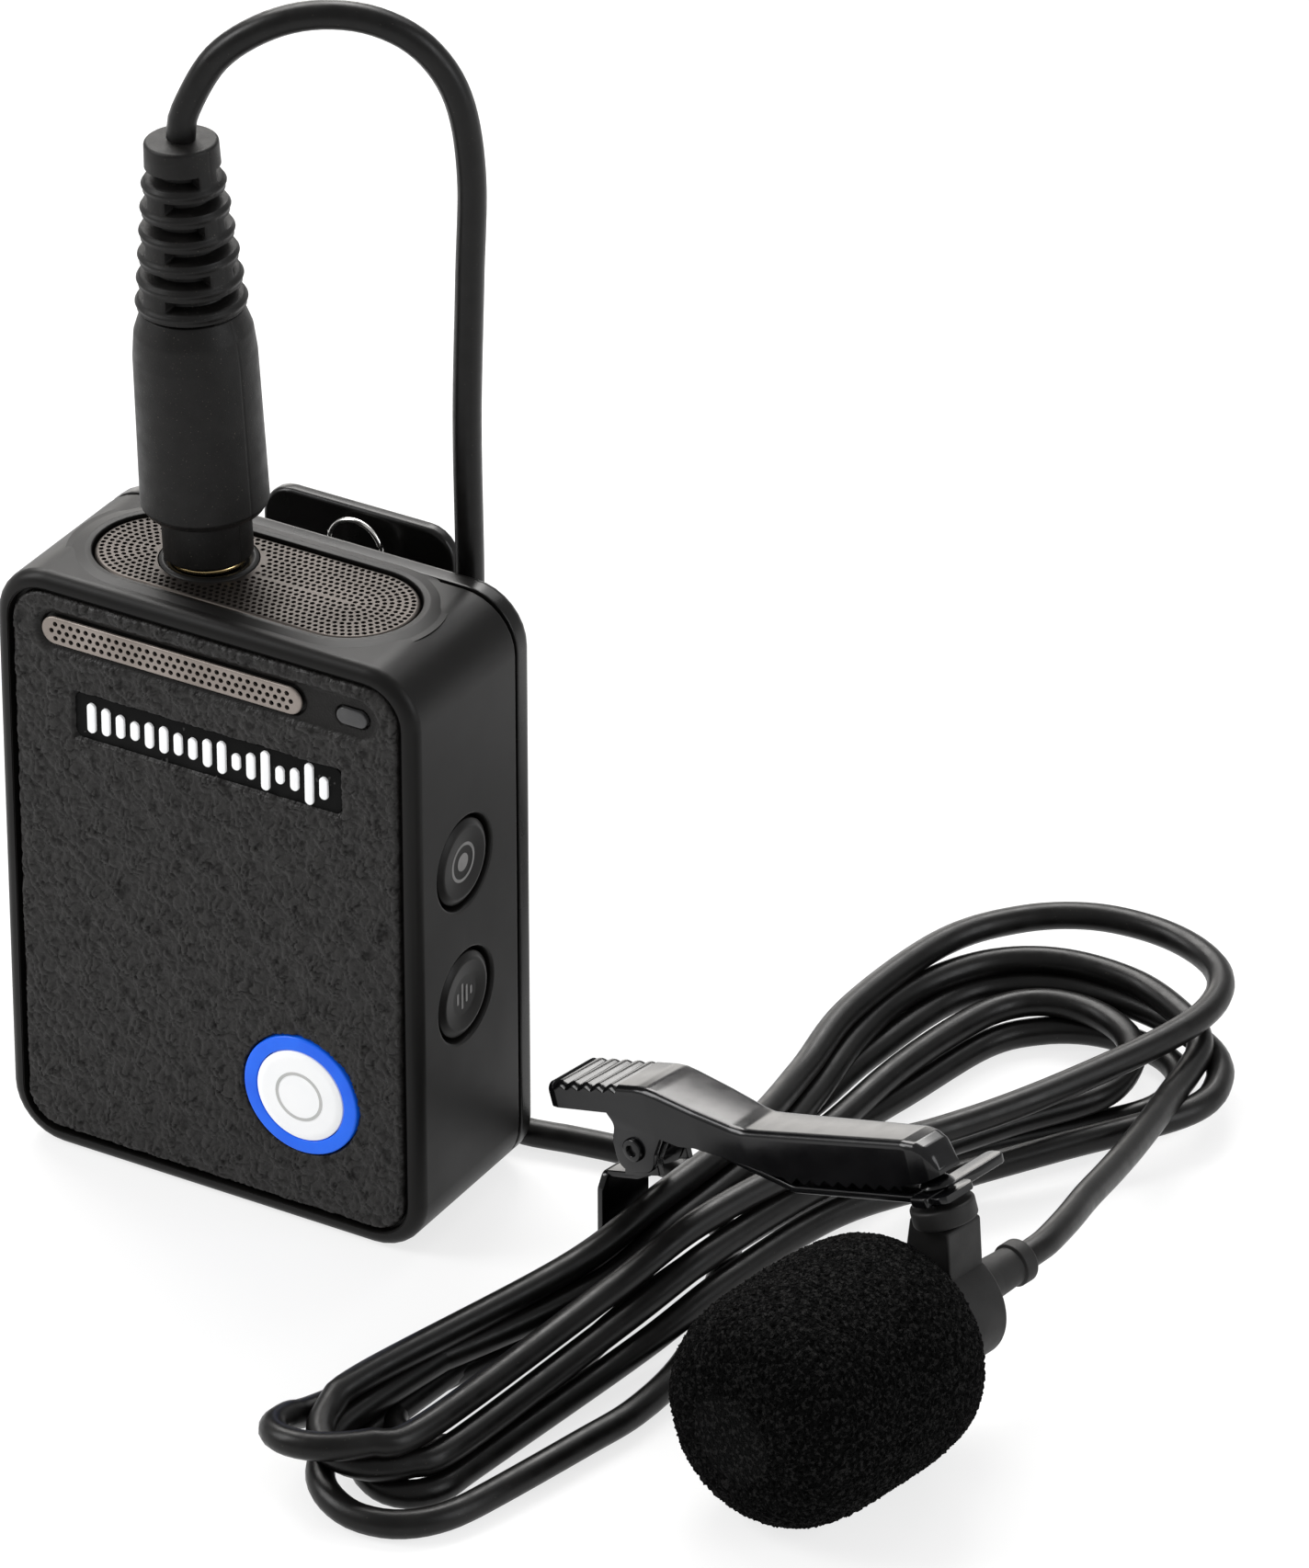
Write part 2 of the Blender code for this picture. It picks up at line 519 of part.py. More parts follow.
# ------------------------------------------------------------------ microphone
def microphone():
    mic = empty("mic_frame", (MIC_X, MIC_Y, FOAM_R), (0, 0, MIC_TURN))
    along = empty("mic_axis", (0, 0, 0), (math.radians(-90), 0, 0), mic)
    squareness = 2 / 3.6
    outside = []
    count = 14
    for i in range(count + 1):
        a = math.pi / 2 - math.pi * i / count
        z = math.copysign(abs(math.sin(a)) ** squareness, math.sin(a)) * FOAM_L
        r = abs(math.cos(a)) ** squareness * FOAM_R
        if r > BODY_R + GAP or a < 0:
            outside.append((r if i < count else 0.0, z))
    bore = BODY_R + GAP
    turned("foam_windscreen", [(bore, FOAM_L)] + outside + [(0, -6.4 * MM), (bore, -6.4 * MM)],
           "foam", along, steps=28, closed=True)
    turned("mic_body", [(BODY_R, 14.4 * MM), (BODY_R, -4.3 * MM), (BODY_R - 0.6 * MM, -4.3 * MM),
                        (BODY_R - 0.6 * MM, 13.2 * MM), (1.0 * MM, 13.2 * MM), (1.0 * MM, 14.4 * MM)],
           "grey_plastic", along, closed=True)
    cylinder("mic_front_mesh", (0, 0, -5.6 * MM), (0, 0, -4.6 * MM), BODY_R, "grille", along)
    cylinder("mic_capsule", (0, 0, -4.0 * MM), (0, 0, 0.5 * MM), 2.5 * MM, "steel", along)
    turned("mic_strain_relief", [(0, RELIEF_END), (1.65 * MM, RELIEF_END), (1.65 * MM, 20.6 * MM),
                                 (1.45 * MM, 20.4 * MM), (1.95 * MM, 14.7 * MM), (0, 14.7 * MM)],
           "grey_plastic", along, steps=20)
    holder(mic, along)
    tie_clip(mic)
    return mic


def holder(mic, along):
    ring = turned("mic_holder", [(RING_OUT_R, RING_TO), (RING_OUT_R, RING_FROM),
                                 (BODY_R + 0.1 * MM, RING_FROM), (BODY_R + 0.1 * MM, RING_TO)],
                  "grey_plastic", along, steps=32, closed=True)
    frame = clip_frame(mic, "holder_clip_frame")
    width = (RING_TO - RING_FROM) / 2 - 0.1 * MM
    centre = (RING_TO + RING_FROM) / 2
    fuse(ring, slab("holder_arm", (-ARM_HALF, centre - width, 4.1 * MM),
                    (ARM_HALF, centre + width, 8.0 * MM), parent=mic))
    tab = cylinder("holder_tab", (RIVET_P, 0, -4.9 * MM), (RIVET_P, 0, -3.5 * MM), 2.4 * MM,
                   parent=frame)
    fuse(ring, tab)
    cut(ring, cylinder("holder_rivet_bore", (RIVET_P, 0, -4.3 * MM), (RIVET_P, 0, -2 * MM),
                       RIVET_BORE_R, parent=frame, sides=16))


def clip_frame(mic, name):
    """At the hinge pin: X along the jaws to the nose, Y along the pin, Z to the upper jaw."""
    return empty(name, (PIN_H, PIN_S, PIN_UP), (0, CLIP_TILT, 0), mic)


def strip(name, path, half_widths, finish=None, parent=None):
    """A sheet-metal strip: a side path of (x, z) with a half width at each point, thickened
    below the path."""
    bm = bmesh.new()
    rows = [[bm.verts.new((x, side * w, z)) for side in (-1, 1)]
            for (x, z), w in zip(path, half_widths)]
    for a, b in zip(rows, rows[1:]):
        bm.faces.new((a[0], b[0], b[1], a[1]))
    mesh = bpy.data.meshes.new(name)
    bm.to_mesh(mesh)
    bm.free()
    obj = add(name, mesh, finish, parent)
    skin = obj.modifiers.new("sheet", "SOLIDIFY")
    skin.thickness = SHEET
    skin.offset = -1.0
    return obj


def side_plate(name, points, y, thickness, parent):
    """A flat cheek in the clip's XZ plane, its middle at y."""
    plate = outline(name, [(x * MM, z * MM) for x, z in points], -thickness / 2, thickness / 2,
                    None, parent)
    plate.location = (0, y, 0)
    plate.rotation_euler = (math.radians(90), 0, 0)
    return plate


def tie_clip(mic):
    frame = clip_frame(mic, "tie_clip_frame")
    cheek = JAW_W / 2 - SHEET / 2
    top = [(-7.0, 5.0), (2.5, 5.0), (6.5, 3.6), (11.3, 1.95), (28.6, 1.95), (30.6, 1.1),
           (31.4, -0.4)]
    widths = [JAW_W, JAW_W, 4.9 * MM, BEND_W, NOSE_W, NOSE_W - 0.4 * MM, NOSE_W - MM]
    upper = strip("clip_upper_jaw", [(x * MM, z * MM) for x, z in top], [w / 2 for w in widths],
                  "black_metal", frame)
    rear = [(-7.0, 4.8), (-7.8, 3.1), (-0.6, 2.8), (-2.6, 0.6), (-2.4, -1.9), (1.2, -1.9),
            (4.2, 0.4), (6.2, 0.6), (9.6, -0.2), (9.6, 2.2), (6.4, 3.4), (2.4, 4.8)]
    for side in (-1, 1):
        fuse(upper, side_plate(f"upper_cheek_{side}", rear, side * cheek, SHEET, frame))
        teeth = [(9.0, 2.4), (9.0, -0.2), (14.0, -1.4)]
        for i in range(TEETH):
            x = 14.5 + i * TOOTH_PITCH
            teeth += [(x, -1.8), (x + TOOTH_PITCH / 2, -1.3)]
        teeth += [(27.6, -1.8), (30.4, -1.2), (30.4, 0.9), (28.5, 1.75), (11.4, 1.75)]
        y0, y1 = BEND_W / 2 + 0.1 * MM, NOSE_W / 2 - 0.25 * MM
        fang = side_plate(f"upper_side_{side}", teeth, 0, SHEET, frame)
        fang.rotation_euler = (math.radians(90), 0, side * math.atan2(y1 - y0, TAPER_L))
        fang.location = (0, side * (y0 + (y0 - y1) / 2), 0)
        fuse(upper, fang)
    cut(upper, cylinder("upper_pin_bore", (0, -4 * MM, 0), (0, 4 * MM, 0),
                        CLIP_PIN_R + RUNNING, parent=frame, sides=16))
    lower = strip("clip_lower_jaw", [(-4.5 * MM, -2.3 * MM), (30.2 * MM, -2.3 * MM)],
                  [1.95 * MM, 1.8 * MM], "black_metal", frame)
    cut(lower, slab("lower_window", (-1.8 * MM, -1.2 * MM, -4 * MM), (9.5 * MM, 1.2 * MM, -1 * MM),
                    parent=frame))
    lug = [(-2.6, -2.5), (-1.4, 0.6), (0.0, 1.2), (1.4, 0.6), (3.4, -2.5)]
    for side in (-1, 1):
        fuse(lower, side_plate(f"lower_lug_{side}", lug, side * 1.65 * MM, SHEET, frame))
    leg = slab("lower_leg", (LEG_H - SHEET, PIN_S - JAW_W / 2, -FOAM_R + GAP),
               (LEG_H, PIN_S + JAW_W / 2, -0.4 * MM), parent=mic)
    fuse(lower, leg)
    fuse(lower, slab("lower_crossbar", (27.4 * MM, -2.4 * MM, -2.95 * MM),
                     (29.0 * MM, 6.6 * MM, -2.25 * MM), parent=frame))
    cut(lower, cylinder("lower_pin_bore", (0, -4 * MM, 0), (0, 4 * MM, 0),
                        CLIP_PIN_R + RUNNING, parent=frame, sides=16))
    cut(lower, cylinder("lower_rivet_bore", (RIVET_P, 0, -4 * MM), (RIVET_P, 0, 0),
                        RIVET_BORE_R, parent=frame, sides=16))
    cylinder("clip_pin", (0, -2.9 * MM, 0), (0, 2.9 * MM, 0), CLIP_PIN_R, "black_metal", frame, sides=16)
    turned("clip_rivet", [(0, -1.4 * MM), (1.1 * MM, -1.5 * MM), (1.4 * MM, -2.0 * MM),
                          (CLIP_PIN_R, -2.0 * MM), (CLIP_PIN_R, -4.0 * MM), (0, -4.0 * MM)],
           "black_metal", empty("rivet_axis", (RIVET_P, 0, 0), parent=frame), steps=16)
    coil, turns, steps = 1.1 * MM, 2, 10
    loops = [(coil * math.sin(2 * math.pi * i / steps), -0.6 * MM + 1.2 * MM * i / (turns * steps),
              coil * math.cos(2 * math.pi * i / steps)) for i in range(turns * steps + 1)]
    arms = [(-4.6 * MM, -0.6 * MM, 2.6 * MM)], [(-3.4 * MM, 0.6 * MM, -1.2 * MM)]
    wire("clip_spring", arms[0] + loops + arms[1], 0.2 * MM, "steel", frame)


def build():
    clear_scene()
    front_housing()
    rear_cover()
    front_pieces()
    power_controls()
    side_controls()
    top_pieces()
    inside_pieces()
    belt_clip()
    plug()
    cords(microphone())


build()
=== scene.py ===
"""Looks for a lavalier microphone plugged into its clip-on wireless transmitter.

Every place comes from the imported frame: metres, +Z up, the transmitter's bottom centre at
the origin. Sizes below are in millimetres: they are multiplied by MM, or a helper does it.
"""
import json
import math

import bmesh
import bpy
import numpy as np
from mathutils import Matrix, Vector, noise
from mathutils.geometry import delaunay_2d_cdt


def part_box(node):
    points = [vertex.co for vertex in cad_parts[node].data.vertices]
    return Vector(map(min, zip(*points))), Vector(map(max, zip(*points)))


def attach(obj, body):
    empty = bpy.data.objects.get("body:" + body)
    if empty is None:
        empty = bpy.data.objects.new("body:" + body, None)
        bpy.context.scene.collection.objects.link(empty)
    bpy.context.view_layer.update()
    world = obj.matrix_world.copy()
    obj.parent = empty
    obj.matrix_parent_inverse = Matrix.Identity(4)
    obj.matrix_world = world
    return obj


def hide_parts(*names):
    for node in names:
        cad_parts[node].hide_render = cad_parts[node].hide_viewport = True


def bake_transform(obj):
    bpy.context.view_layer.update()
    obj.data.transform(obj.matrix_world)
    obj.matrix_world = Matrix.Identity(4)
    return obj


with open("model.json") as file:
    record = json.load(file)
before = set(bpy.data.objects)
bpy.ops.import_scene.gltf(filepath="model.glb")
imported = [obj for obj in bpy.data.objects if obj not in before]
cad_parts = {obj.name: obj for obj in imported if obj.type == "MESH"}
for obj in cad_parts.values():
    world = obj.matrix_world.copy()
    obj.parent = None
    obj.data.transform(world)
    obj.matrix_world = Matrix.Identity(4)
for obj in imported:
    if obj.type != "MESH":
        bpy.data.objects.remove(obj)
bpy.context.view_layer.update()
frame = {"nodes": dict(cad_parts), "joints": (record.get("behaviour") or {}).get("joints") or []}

MM = 0.001
SCREWS = 4                           # in the rear cover


# ------------------------------------------------------------------ places from the frame
def box(node):
    low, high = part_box(node)
    return low, high, (low + high) / 2


def joint(name):
    return next(j for j in frame["joints"] if j["name"] == name)


def in_mm(rows):
    """Rows of millimetres as metres."""
    return [tuple(value * MM for value in row) for row in rows]


def turn(degrees, axis):
    return Matrix.Rotation(math.radians(degrees), 4, axis)


def move(x, y, z):
    return Matrix.Translation((x, y, z))


CASE_LOW, CASE_HIGH, _ = box("front_housing")
COVER_LOW = box("rear_cover")[0]
HALF_W, CASE_H = CASE_HIGH.x, CASE_HIGH.z
FRONT_Y, SEAM_Y = CASE_LOW.y, CASE_HIGH.y
CORNER_R = 4.5 * MM
EDGE_R = 1.0 * MM
RIM = 1.3 * MM                       # from the case's side to the leather

# the microphone's own frame: X across, Y along its axis to the strain relief, Z up
MIC_AXIS = Vector(joint("holder_turn")["axis"])
MIC_CENTRE = box("foam_windscreen")[2]
MIC_ACROSS = MIC_AXIS.cross(Vector((0, 0, 1)))
MIC = Matrix.Translation(MIC_CENTRE) @ Matrix(
    (MIC_ACROSS, MIC_AXIS, (0, 0, 1))).transposed().to_4x4()
BED = MIC @ Matrix.Translation((0, 0, -MIC_CENTRE.z))        # the same, on the floor

# the tie clip's frame at its hinge pin: X to the nose, Y along the pin, Z to the upper jaw
CLIP_UP = Vector(joint("clip_swivel")["axis"])
CLIP_PIN = Vector(joint("jaw_open")["pos_m"])
CLIP = Matrix.Translation(CLIP_PIN) @ Matrix(
    (MIC_AXIS.cross(CLIP_UP), MIC_AXIS, CLIP_UP)).transposed().to_4x4()
PIN_FRAME = CLIP @ turn(90, "X")                # local Z along the hinge pin
RIVET_P = (CLIP.inverted() @ Vector(joint("clip_swivel")["pos_m"])).x

# the plug's frame at the jack mouth, leaning with the barrel
JACK = Vector((box("jack_socket")[2].x, box("plug_sleeve")[2].y, CASE_H))
PLUG_LEAN = -2.6                     # degrees
PLUG = Matrix.Translation(JACK) @ turn(PLUG_LEAN, "Y")
JACK_FRAME = Matrix.Translation(JACK)

CORD_R = 1.1 * MM


# ------------------------------------------------------------------ camera, light and stage
def camera():
    data = bpy.data.cameras.new("camera")
    data.sensor_width = 36
    data.lens = 251.1
    data.clip_start, data.clip_end = 0.05, 20
    cam = bpy.data.objects.new("camera", data)
    bpy.context.scene.collection.objects.link(cam)
    azimuth, elevation = math.radians(30.73), math.radians(30.15)
    roll = math.radians(-0.06)
    cam.location = (0.3882, -0.5956, 0.4447)
    cam.rotation_euler = (math.pi / 2 - elevation, 0, azimuth)
    cam.rotation_euler = (cam.rotation_euler.to_matrix()
                          @ Matrix.Rotation(roll, 3, "Z")).to_euler()
    bpy.context.scene.camera = cam


def area(name, place, aim, size, power, colour=(1, 1, 1)):
    data = bpy.data.lights.new(name, "AREA")
    data.shape = "RECTANGLE"
    data.size, data.size_y = size
    data.energy = power
    data.color = colour
    lamp = bpy.data.objects.new(name, data)
    lamp.location = place
    lamp.rotation_euler = (Vector(aim) - Vector(place)).to_track_quat("-Z", "Y").to_euler()
    bpy.context.scene.collection.objects.link(lamp)


def stage():
    world = bpy.data.worlds.new("studio")
    bpy.context.scene.world = world
    world.use_nodes = True
    sky = world.node_tree.nodes["Background"]
    sky.inputs["Color"].default_value = (1.0, 1.0, 1.0, 1)
    sky.inputs["Strength"].default_value = 0.50
    area("key", (-0.45, 0.50, 0.80), (0.02, 0, 0.03), (0.8, 0.5), 14.0, (1.0, 0.985, 0.965))
    area("fill", (0.85, 0.10, 0.40), (0.03, 0, 0.03), (0.35, 0.6), 3.0, (0.97, 0.985, 1.0))
    area("back", (0.0, 0.62, 0.70), (0.04, 0, 0.02), (0.50, 0.40), 2.0)
    area("rim", (-0.52, 0.70, 0.15), (0.05, 0, 0.02), (0.35, 0.26), 0.85, (1.0, 0.97, 0.93))
    area("front", (-0.75, -0.45, 0.65), (0, 0, 0.03), (0.4, 0.6), 7.0)
    bm = bmesh.new()
    bmesh.ops.create_grid(bm, x_segments=1, y_segments=1, size=6.0)
    bmesh.ops.translate(bm, vec=(0, 0, -0.02 * MM), verts=bm.verts)
    mesh = bpy.data.meshes.new("floor")
    bm.to_mesh(mesh)
    bm.free()
    floor = bpy.data.objects.new("floor", mesh)
    bpy.context.scene.collection.objects.link(floor)
    mesh.materials.append(surface("floor_paint", (0.90, 0.90, 0.90), 0.9, specular=0.0,
                                  glow=0.84, dull=0.26))
    view = bpy.context.scene.view_settings
    view.view_transform = "Standard"


# ------------------------------------------------------------------ materials
def surface(name, colour, roughness, metallic=0.0, specular=0.5, shade=None, shade_scale=400,
            rough_to=None, bumps=(), glow=0.0, specks=None, crease_shade_and_strip_tone=None, dull=1.0):
    """A Principled material. shade is a second colour mixed in by noise, rough_to a second
    roughness, bumps a list of (texture, scale per metre, height in millimetres), specks
    (colour, scale per metre, share) for fine lighter dots, crease_shade_and_strip_tone a dark
    colour mixed in, with less specular, where the mesh's own per-point values are high, as
    painted shade, dull dims the base colour but not its glow."""
    mat = bpy.data.materials.new(name)
    mat.use_nodes = True
    nodes, links = mat.node_tree.nodes, mat.node_tree.links
    shader = nodes["Principled BSDF"]
    shader.inputs["Base Color"].default_value = (*(c * dull for c in colour), 1)
    shader.inputs["Roughness"].default_value = roughness
    shader.inputs["Metallic"].default_value = metallic
    shader.inputs["Specular IOR Level"].default_value = specular
    if glow:
        shader.inputs["Emission Color"].default_value = (*colour, 1)
        shader.inputs["Emission Strength"].default_value = glow
    place = nodes.new("ShaderNodeTexCoord")

    def noise_level(scale, detail=3.0):
        texture = nodes.new("ShaderNodeTexNoise")
        texture.inputs["Scale"].default_value = scale
        texture.inputs["Detail"].default_value = detail
        links.new(place.outputs["Object"], texture.inputs["Vector"])
        return texture.outputs["Fac"]

    def spread(source, low, high, to_low, to_high):
        ramp = nodes.new("ShaderNodeMapRange")
        ramp.inputs["From Min"].default_value = low
        ramp.inputs["From Max"].default_value = high
        ramp.inputs["To Min"].default_value = to_low
        ramp.inputs["To Max"].default_value = to_high
        links.new(source, ramp.inputs["Value"])
        return ramp.outputs["Result"]

    def paint_over(under, over, share):
        """Mix a colour over the present one, which is a colour or a socket."""
        mix = nodes.new("ShaderNodeMix")
        mix.data_type = "RGBA"
        if isinstance(under, tuple):
            mix.inputs[6].default_value = (*under, 1)
        else:
            links.new(under, mix.inputs[6])
        mix.inputs[7].default_value = (*over, 1)
        links.new(share, mix.inputs[0])
        links.new(mix.outputs[2], shader.inputs["Base Color"])
        return mix.outputs[2]

    present = colour
    if shade:
        present = paint_over(present, shade, spread(noise_level(shade_scale), 0.35, 0.65, 0, 1))
    if specks:
        dots, scale, share = specks
        present = paint_over(present, dots,
                             spread(noise_level(scale, 1.0), 1 - share, 1.04 - share, 0, 1))
    # Painted shade in the leather's creases: a dark colour mixed in, and the specular cut, where
    # the mesh's per-point values are high; the same values give the smooth strip an even darker
    # tone.
    if crease_shade_and_strip_tone:
        depth = nodes.new("ShaderNodeAttribute")
        depth.attribute_name = "crease_shade_and_strip_tone"
        paint_over(present, crease_shade_and_strip_tone, depth.outputs["Fac"])
        links.new(spread(depth.outputs["Fac"], 0.1, 0.9, specular, 0.02),
                  shader.inputs["Specular IOR Level"])
    if rough_to is not None:
        links.new(spread(noise_level(shade_scale * 1.7), 0.3, 0.7, roughness, rough_to),
                  shader.inputs["Roughness"])
    normal = None
    for kind, scale, height in bumps:
        if kind == "cells":
            texture = nodes.new("ShaderNodeTexVoronoi")
            texture.feature = "DISTANCE_TO_EDGE"
            texture.inputs["Scale"].default_value = scale
            links.new(place.outputs["Object"], texture.inputs["Vector"])
            level = spread(texture.outputs["Distance"], 0.0, 0.25, 0, 1)
        else:
            level = noise_level(scale, 4.0)
        bump = nodes.new("ShaderNodeBump")
        bump.inputs["Distance"].default_value = height * MM
        links.new(level, bump.inputs["Height"])
        if normal:
            links.new(normal, bump.inputs["Normal"])
        normal = bump.outputs["Normal"]
    if normal:
        links.new(normal, shader.inputs["Normal"])
    return mat


def materials():
    return {
        "case": surface("case_satin", (0.0036, 0.0033, 0.0031), 0.37, specular=0.16,
                        shade=(0.0048, 0.0044, 0.0041), rough_to=0.44, shade_scale=120,
                        bumps=[("noise", 9000, 0.004)]),
        "cover": surface("cover_satin", (0.0034, 0.0032, 0.0030), 0.25, specular=0.24,
                         shade=(0.0058, 0.0055, 0.0053), rough_to=0.31, shade_scale=120,
                         bumps=[("noise", 9000, 0.003)]),
        # The leather's second, near-black colour is painted shade, mixed in at the creases by the
        # mesh's per-point values.
        "leather": surface("pebbled_leather", (0.0108, 0.0099, 0.0094), 0.38, specular=0.28,
                           shade=(0.0150, 0.0138, 0.0131), rough_to=0.56, shade_scale=700,
                           crease_shade_and_strip_tone=(0.0018, 0.0016, 0.0015),
                           bumps=[("cells", 3600, 0.012), ("noise", 9000, 0.010)]),
        "strip": surface("smoked_strip", (0.0018, 0.0018, 0.0018), 0.5, specular=0.07,
                         shade=(0.0026, 0.0026, 0.0026), bumps=[("noise", 6000, 0.004)]),
        "lens": surface("smoked_lens", (0.040, 0.040, 0.041), 0.2, specular=0.35,
                        shade=(0.055, 0.055, 0.056), shade_scale=600),
        "grille": surface("grille_paint", (0.042, 0.036, 0.032), 0.34, metallic=0.75,
                          specular=0.2, shade=(0.058, 0.050, 0.045), shade_scale=250,
                          rough_to=0.44, bumps=[("noise", 8000, 0.004)]),
        "slot": surface("slot_paint", (0.225, 0.195, 0.175), 0.38, metallic=0.7, specular=0.3,
                        shade=(0.275, 0.240, 0.218), shade_scale=300, rough_to=0.46,
                        bumps=[("noise", 9000, 0.003)]),
        # A near-black finish: under the grilles a sheet of it is painted shade that keeps the
        # holes dark; on the plug it is the insulators' own black.
        "void": surface("grille_cloth", (0.0015, 0.0015, 0.0015), 0.95, specular=0.03,
                        shade=(0.0025, 0.0025, 0.0025), bumps=[("noise", 12000, 0.01)]),
        # white_satin has a faint glow: painted light, so the white cap and level bars shine a
        # little though they are no lamps.
        "white": surface("white_satin", (0.88, 0.89, 0.90), 0.36, specular=0.4, glow=0.07,
                         shade=(0.91, 0.915, 0.92), bumps=[("noise", 5000, 0.001)]),
        "mark": surface("grey_print", (0.47, 0.48, 0.47), 0.4,
                        shade=(0.52, 0.52, 0.51), shade_scale=900),
        "dull_mark": surface("grey_icon", (0.115, 0.113, 0.11), 0.45,
                             shade=(0.145, 0.142, 0.14), shade_scale=900),
        "blue": surface("blue_light", (0.004, 0.100, 0.72), 0.3, specular=0.3, glow=0.17,
                        shade=(0.007, 0.13, 0.80), shade_scale=300),
        "rubber": surface("plug_rubber", (0.0036, 0.0033, 0.0031), 0.42, specular=0.20,
                          shade=(0.0058, 0.0053, 0.0050), shade_scale=500, rough_to=0.54,
                          bumps=[("noise", 9000, 0.014)],
                          specks=((0.075, 0.066, 0.055), 9000, 0.27)),
        "cord": surface("cord_jacket", (0.0022, 0.0020, 0.0019), 0.30, specular=0.22,
                        shade=(0.0044, 0.0041, 0.0039), shade_scale=500, rough_to=0.42,
                        bumps=[("noise", 5000, 0.006)],
                        specks=((0.045, 0.041, 0.035), 7000, 0.245)),
        "gold": surface("gold_plate", (0.83, 0.61, 0.28), 0.22, metallic=1.0,
                        shade=(0.88, 0.67, 0.34), rough_to=0.3),
        "steel": surface("bright_steel", (0.62, 0.61, 0.59), 0.16, metallic=1.0,
                         shade=(0.70, 0.69, 0.67), rough_to=0.26,
                         bumps=[("noise", 4000, 0.002)]),
        "gloss": surface("black_gloss_paint", (0.0019, 0.0019, 0.0022), 0.17, specular=0.36,
                         shade=(0.0028, 0.0028, 0.0033), rough_to=0.23,
                         bumps=[("noise", 900, 0.004)]),
        "dark_wire": surface("dark_wire", (0.02, 0.02, 0.022), 0.28, metallic=0.9,
                             shade=(0.032, 0.032, 0.034)),
        "foam": surface("open_cell_foam", (0.0013, 0.0013, 0.0013), 0.9, specular=0.05,
                        shade=(0.0028, 0.0028, 0.0028), shade_scale=1500,
                        bumps=[("cells", 2600, 0.20), ("noise", 5200, 0.14)],
                        specks=((0.013, 0.0127, 0.0125), 2700, 0.46)),
        "grey": surface("grey_moulding", (0.0095, 0.0092, 0.0090), 0.5, specular=0.22,
                        shade=(0.0135, 0.0130, 0.0128), rough_to=0.6,
                        bumps=[("noise", 7000, 0.008)]),
        "board": surface("circuit_green", (0.02, 0.12, 0.06), 0.4,
                         shade=(0.03, 0.16, 0.08), bumps=[("cells", 700, 0.03)]),
        "cell": surface("battery_wrap", (0.42, 0.43, 0.45), 0.4, metallic=0.3,
                        shade=(0.48, 0.49, 0.5), bumps=[("noise", 600, 0.03)]),
    }


# ------------------------------------------------------------------ mesh helpers
def piece(name, source, finish, body, replaces=(), smooth=35, weigh=False):
    """A finished piece from a bmesh or a mesh, riding on a body of the frame."""
    if isinstance(source, bmesh.types.BMesh):
        mesh = bpy.data.meshes.new(name)
        source.to_mesh(mesh)
        source.free()
    else:
        mesh = source
        mesh.name = name
    obj = bpy.data.objects.new(name, mesh)
    bpy.context.scene.collection.objects.link(obj)
    mesh.materials.clear()
    mesh.materials.append(FINISH[finish])
    mesh.shade_smooth()
    mesh.set_sharp_from_angle(angle=math.radians(smooth))
    if weigh:
        even = obj.modifiers.new("even_normals", "WEIGHTED_NORMAL")
        even.keep_sharp = True
        even.weight = 90
    if body:
        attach(obj, body)
    if replaces:
        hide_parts(*replaces)
    return obj


def faces_out(bm):
    bmesh.ops.recalc_face_normals(bm, faces=bm.faces)
    return bm


def stack(rings, closed=False):
    """A skin over rings of points, each ring closed and with the same count."""
    bm = bmesh.new()
    rows = [[bm.verts.new(p) for p in ring] for ring in rings]
    pairs = list(zip(rows, rows[1:])) + ([(rows[-1], rows[0])] if closed else [])
    for a, b in pairs:
        for i in range(len(a)):
            j = (i + 1) % len(a)
            bm.faces.new((a[i], a[j], b[j], b[i]))
    if not closed:
        bm.faces.new(rows[0][::-1])
        bm.faces.new(rows[-1])
    return faces_out(bm)


def lathe(profile, at=None, steps=64, closed=False, shape=None):
    """A profile of (radius, z) turned about local Z, then put in at. Ends at radius 0
    close in a point. shape(angle, z) gives an optional change of radius."""
    bm = bmesh.new()
    rings = []
    for radius, z in profile:
        if radius < 1e-9:
            rings.append([bm.verts.new((0, 0, z))])
            continue
        ring = []
        for i in range(steps):
            angle = 2 * math.pi * i / steps
            r = radius + (shape(angle, z) if shape else 0)
            ring.append(bm.verts.new((r * math.cos(angle), r * math.sin(angle), z)))
        rings.append(ring)
    for a, b in zip(rings, rings[1:] + (rings[:1] if closed else [])):
        for i in range(steps):
            j = (i + 1) % steps
            if len(a) > 1 and len(b) > 1:
                bm.faces.new((a[i], a[j], b[j], b[i]))
            elif len(a) > 1:
                bm.faces.new((a[i], a[j], b[0]))
            elif len(b) > 1:
                bm.faces.new((a[0], b[j], b[i]))
    if not closed:
        for end in (rings[0], rings[-1]):
            if len(end) > 1:
                bm.faces.new(end)
    if at:
        bmesh.ops.transform(bm, matrix=at, verts=bm.verts)
    return faces_out(bm)


def rounded(corners, steps=5):
    """An open profile whose corners (x, y, radius) are rounded by arcs."""
    points = []
    for i, (x, y, radius) in enumerate(corners):
        here = Vector((x, y))
        if radius <= 0 or i in (0, len(corners) - 1):
            points.append((x, y))
            continue
        before = (Vector(corners[i - 1][:2]) - here).normalized()
        after = (Vector(corners[i + 1][:2]) - here).normalized()
        half = before.angle(after) / 2
        reach = radius / math.tan(half)
        centre = here + (before + after).normalized() * (radius / math.sin(half))
        a, b = here + before * reach - centre, here + after * reach - centre
        for k in range(steps + 1):
            arm = a.slerp(b, k / steps, a)
            points.append(tuple(centre + arm.normalized() * radius))
    return points


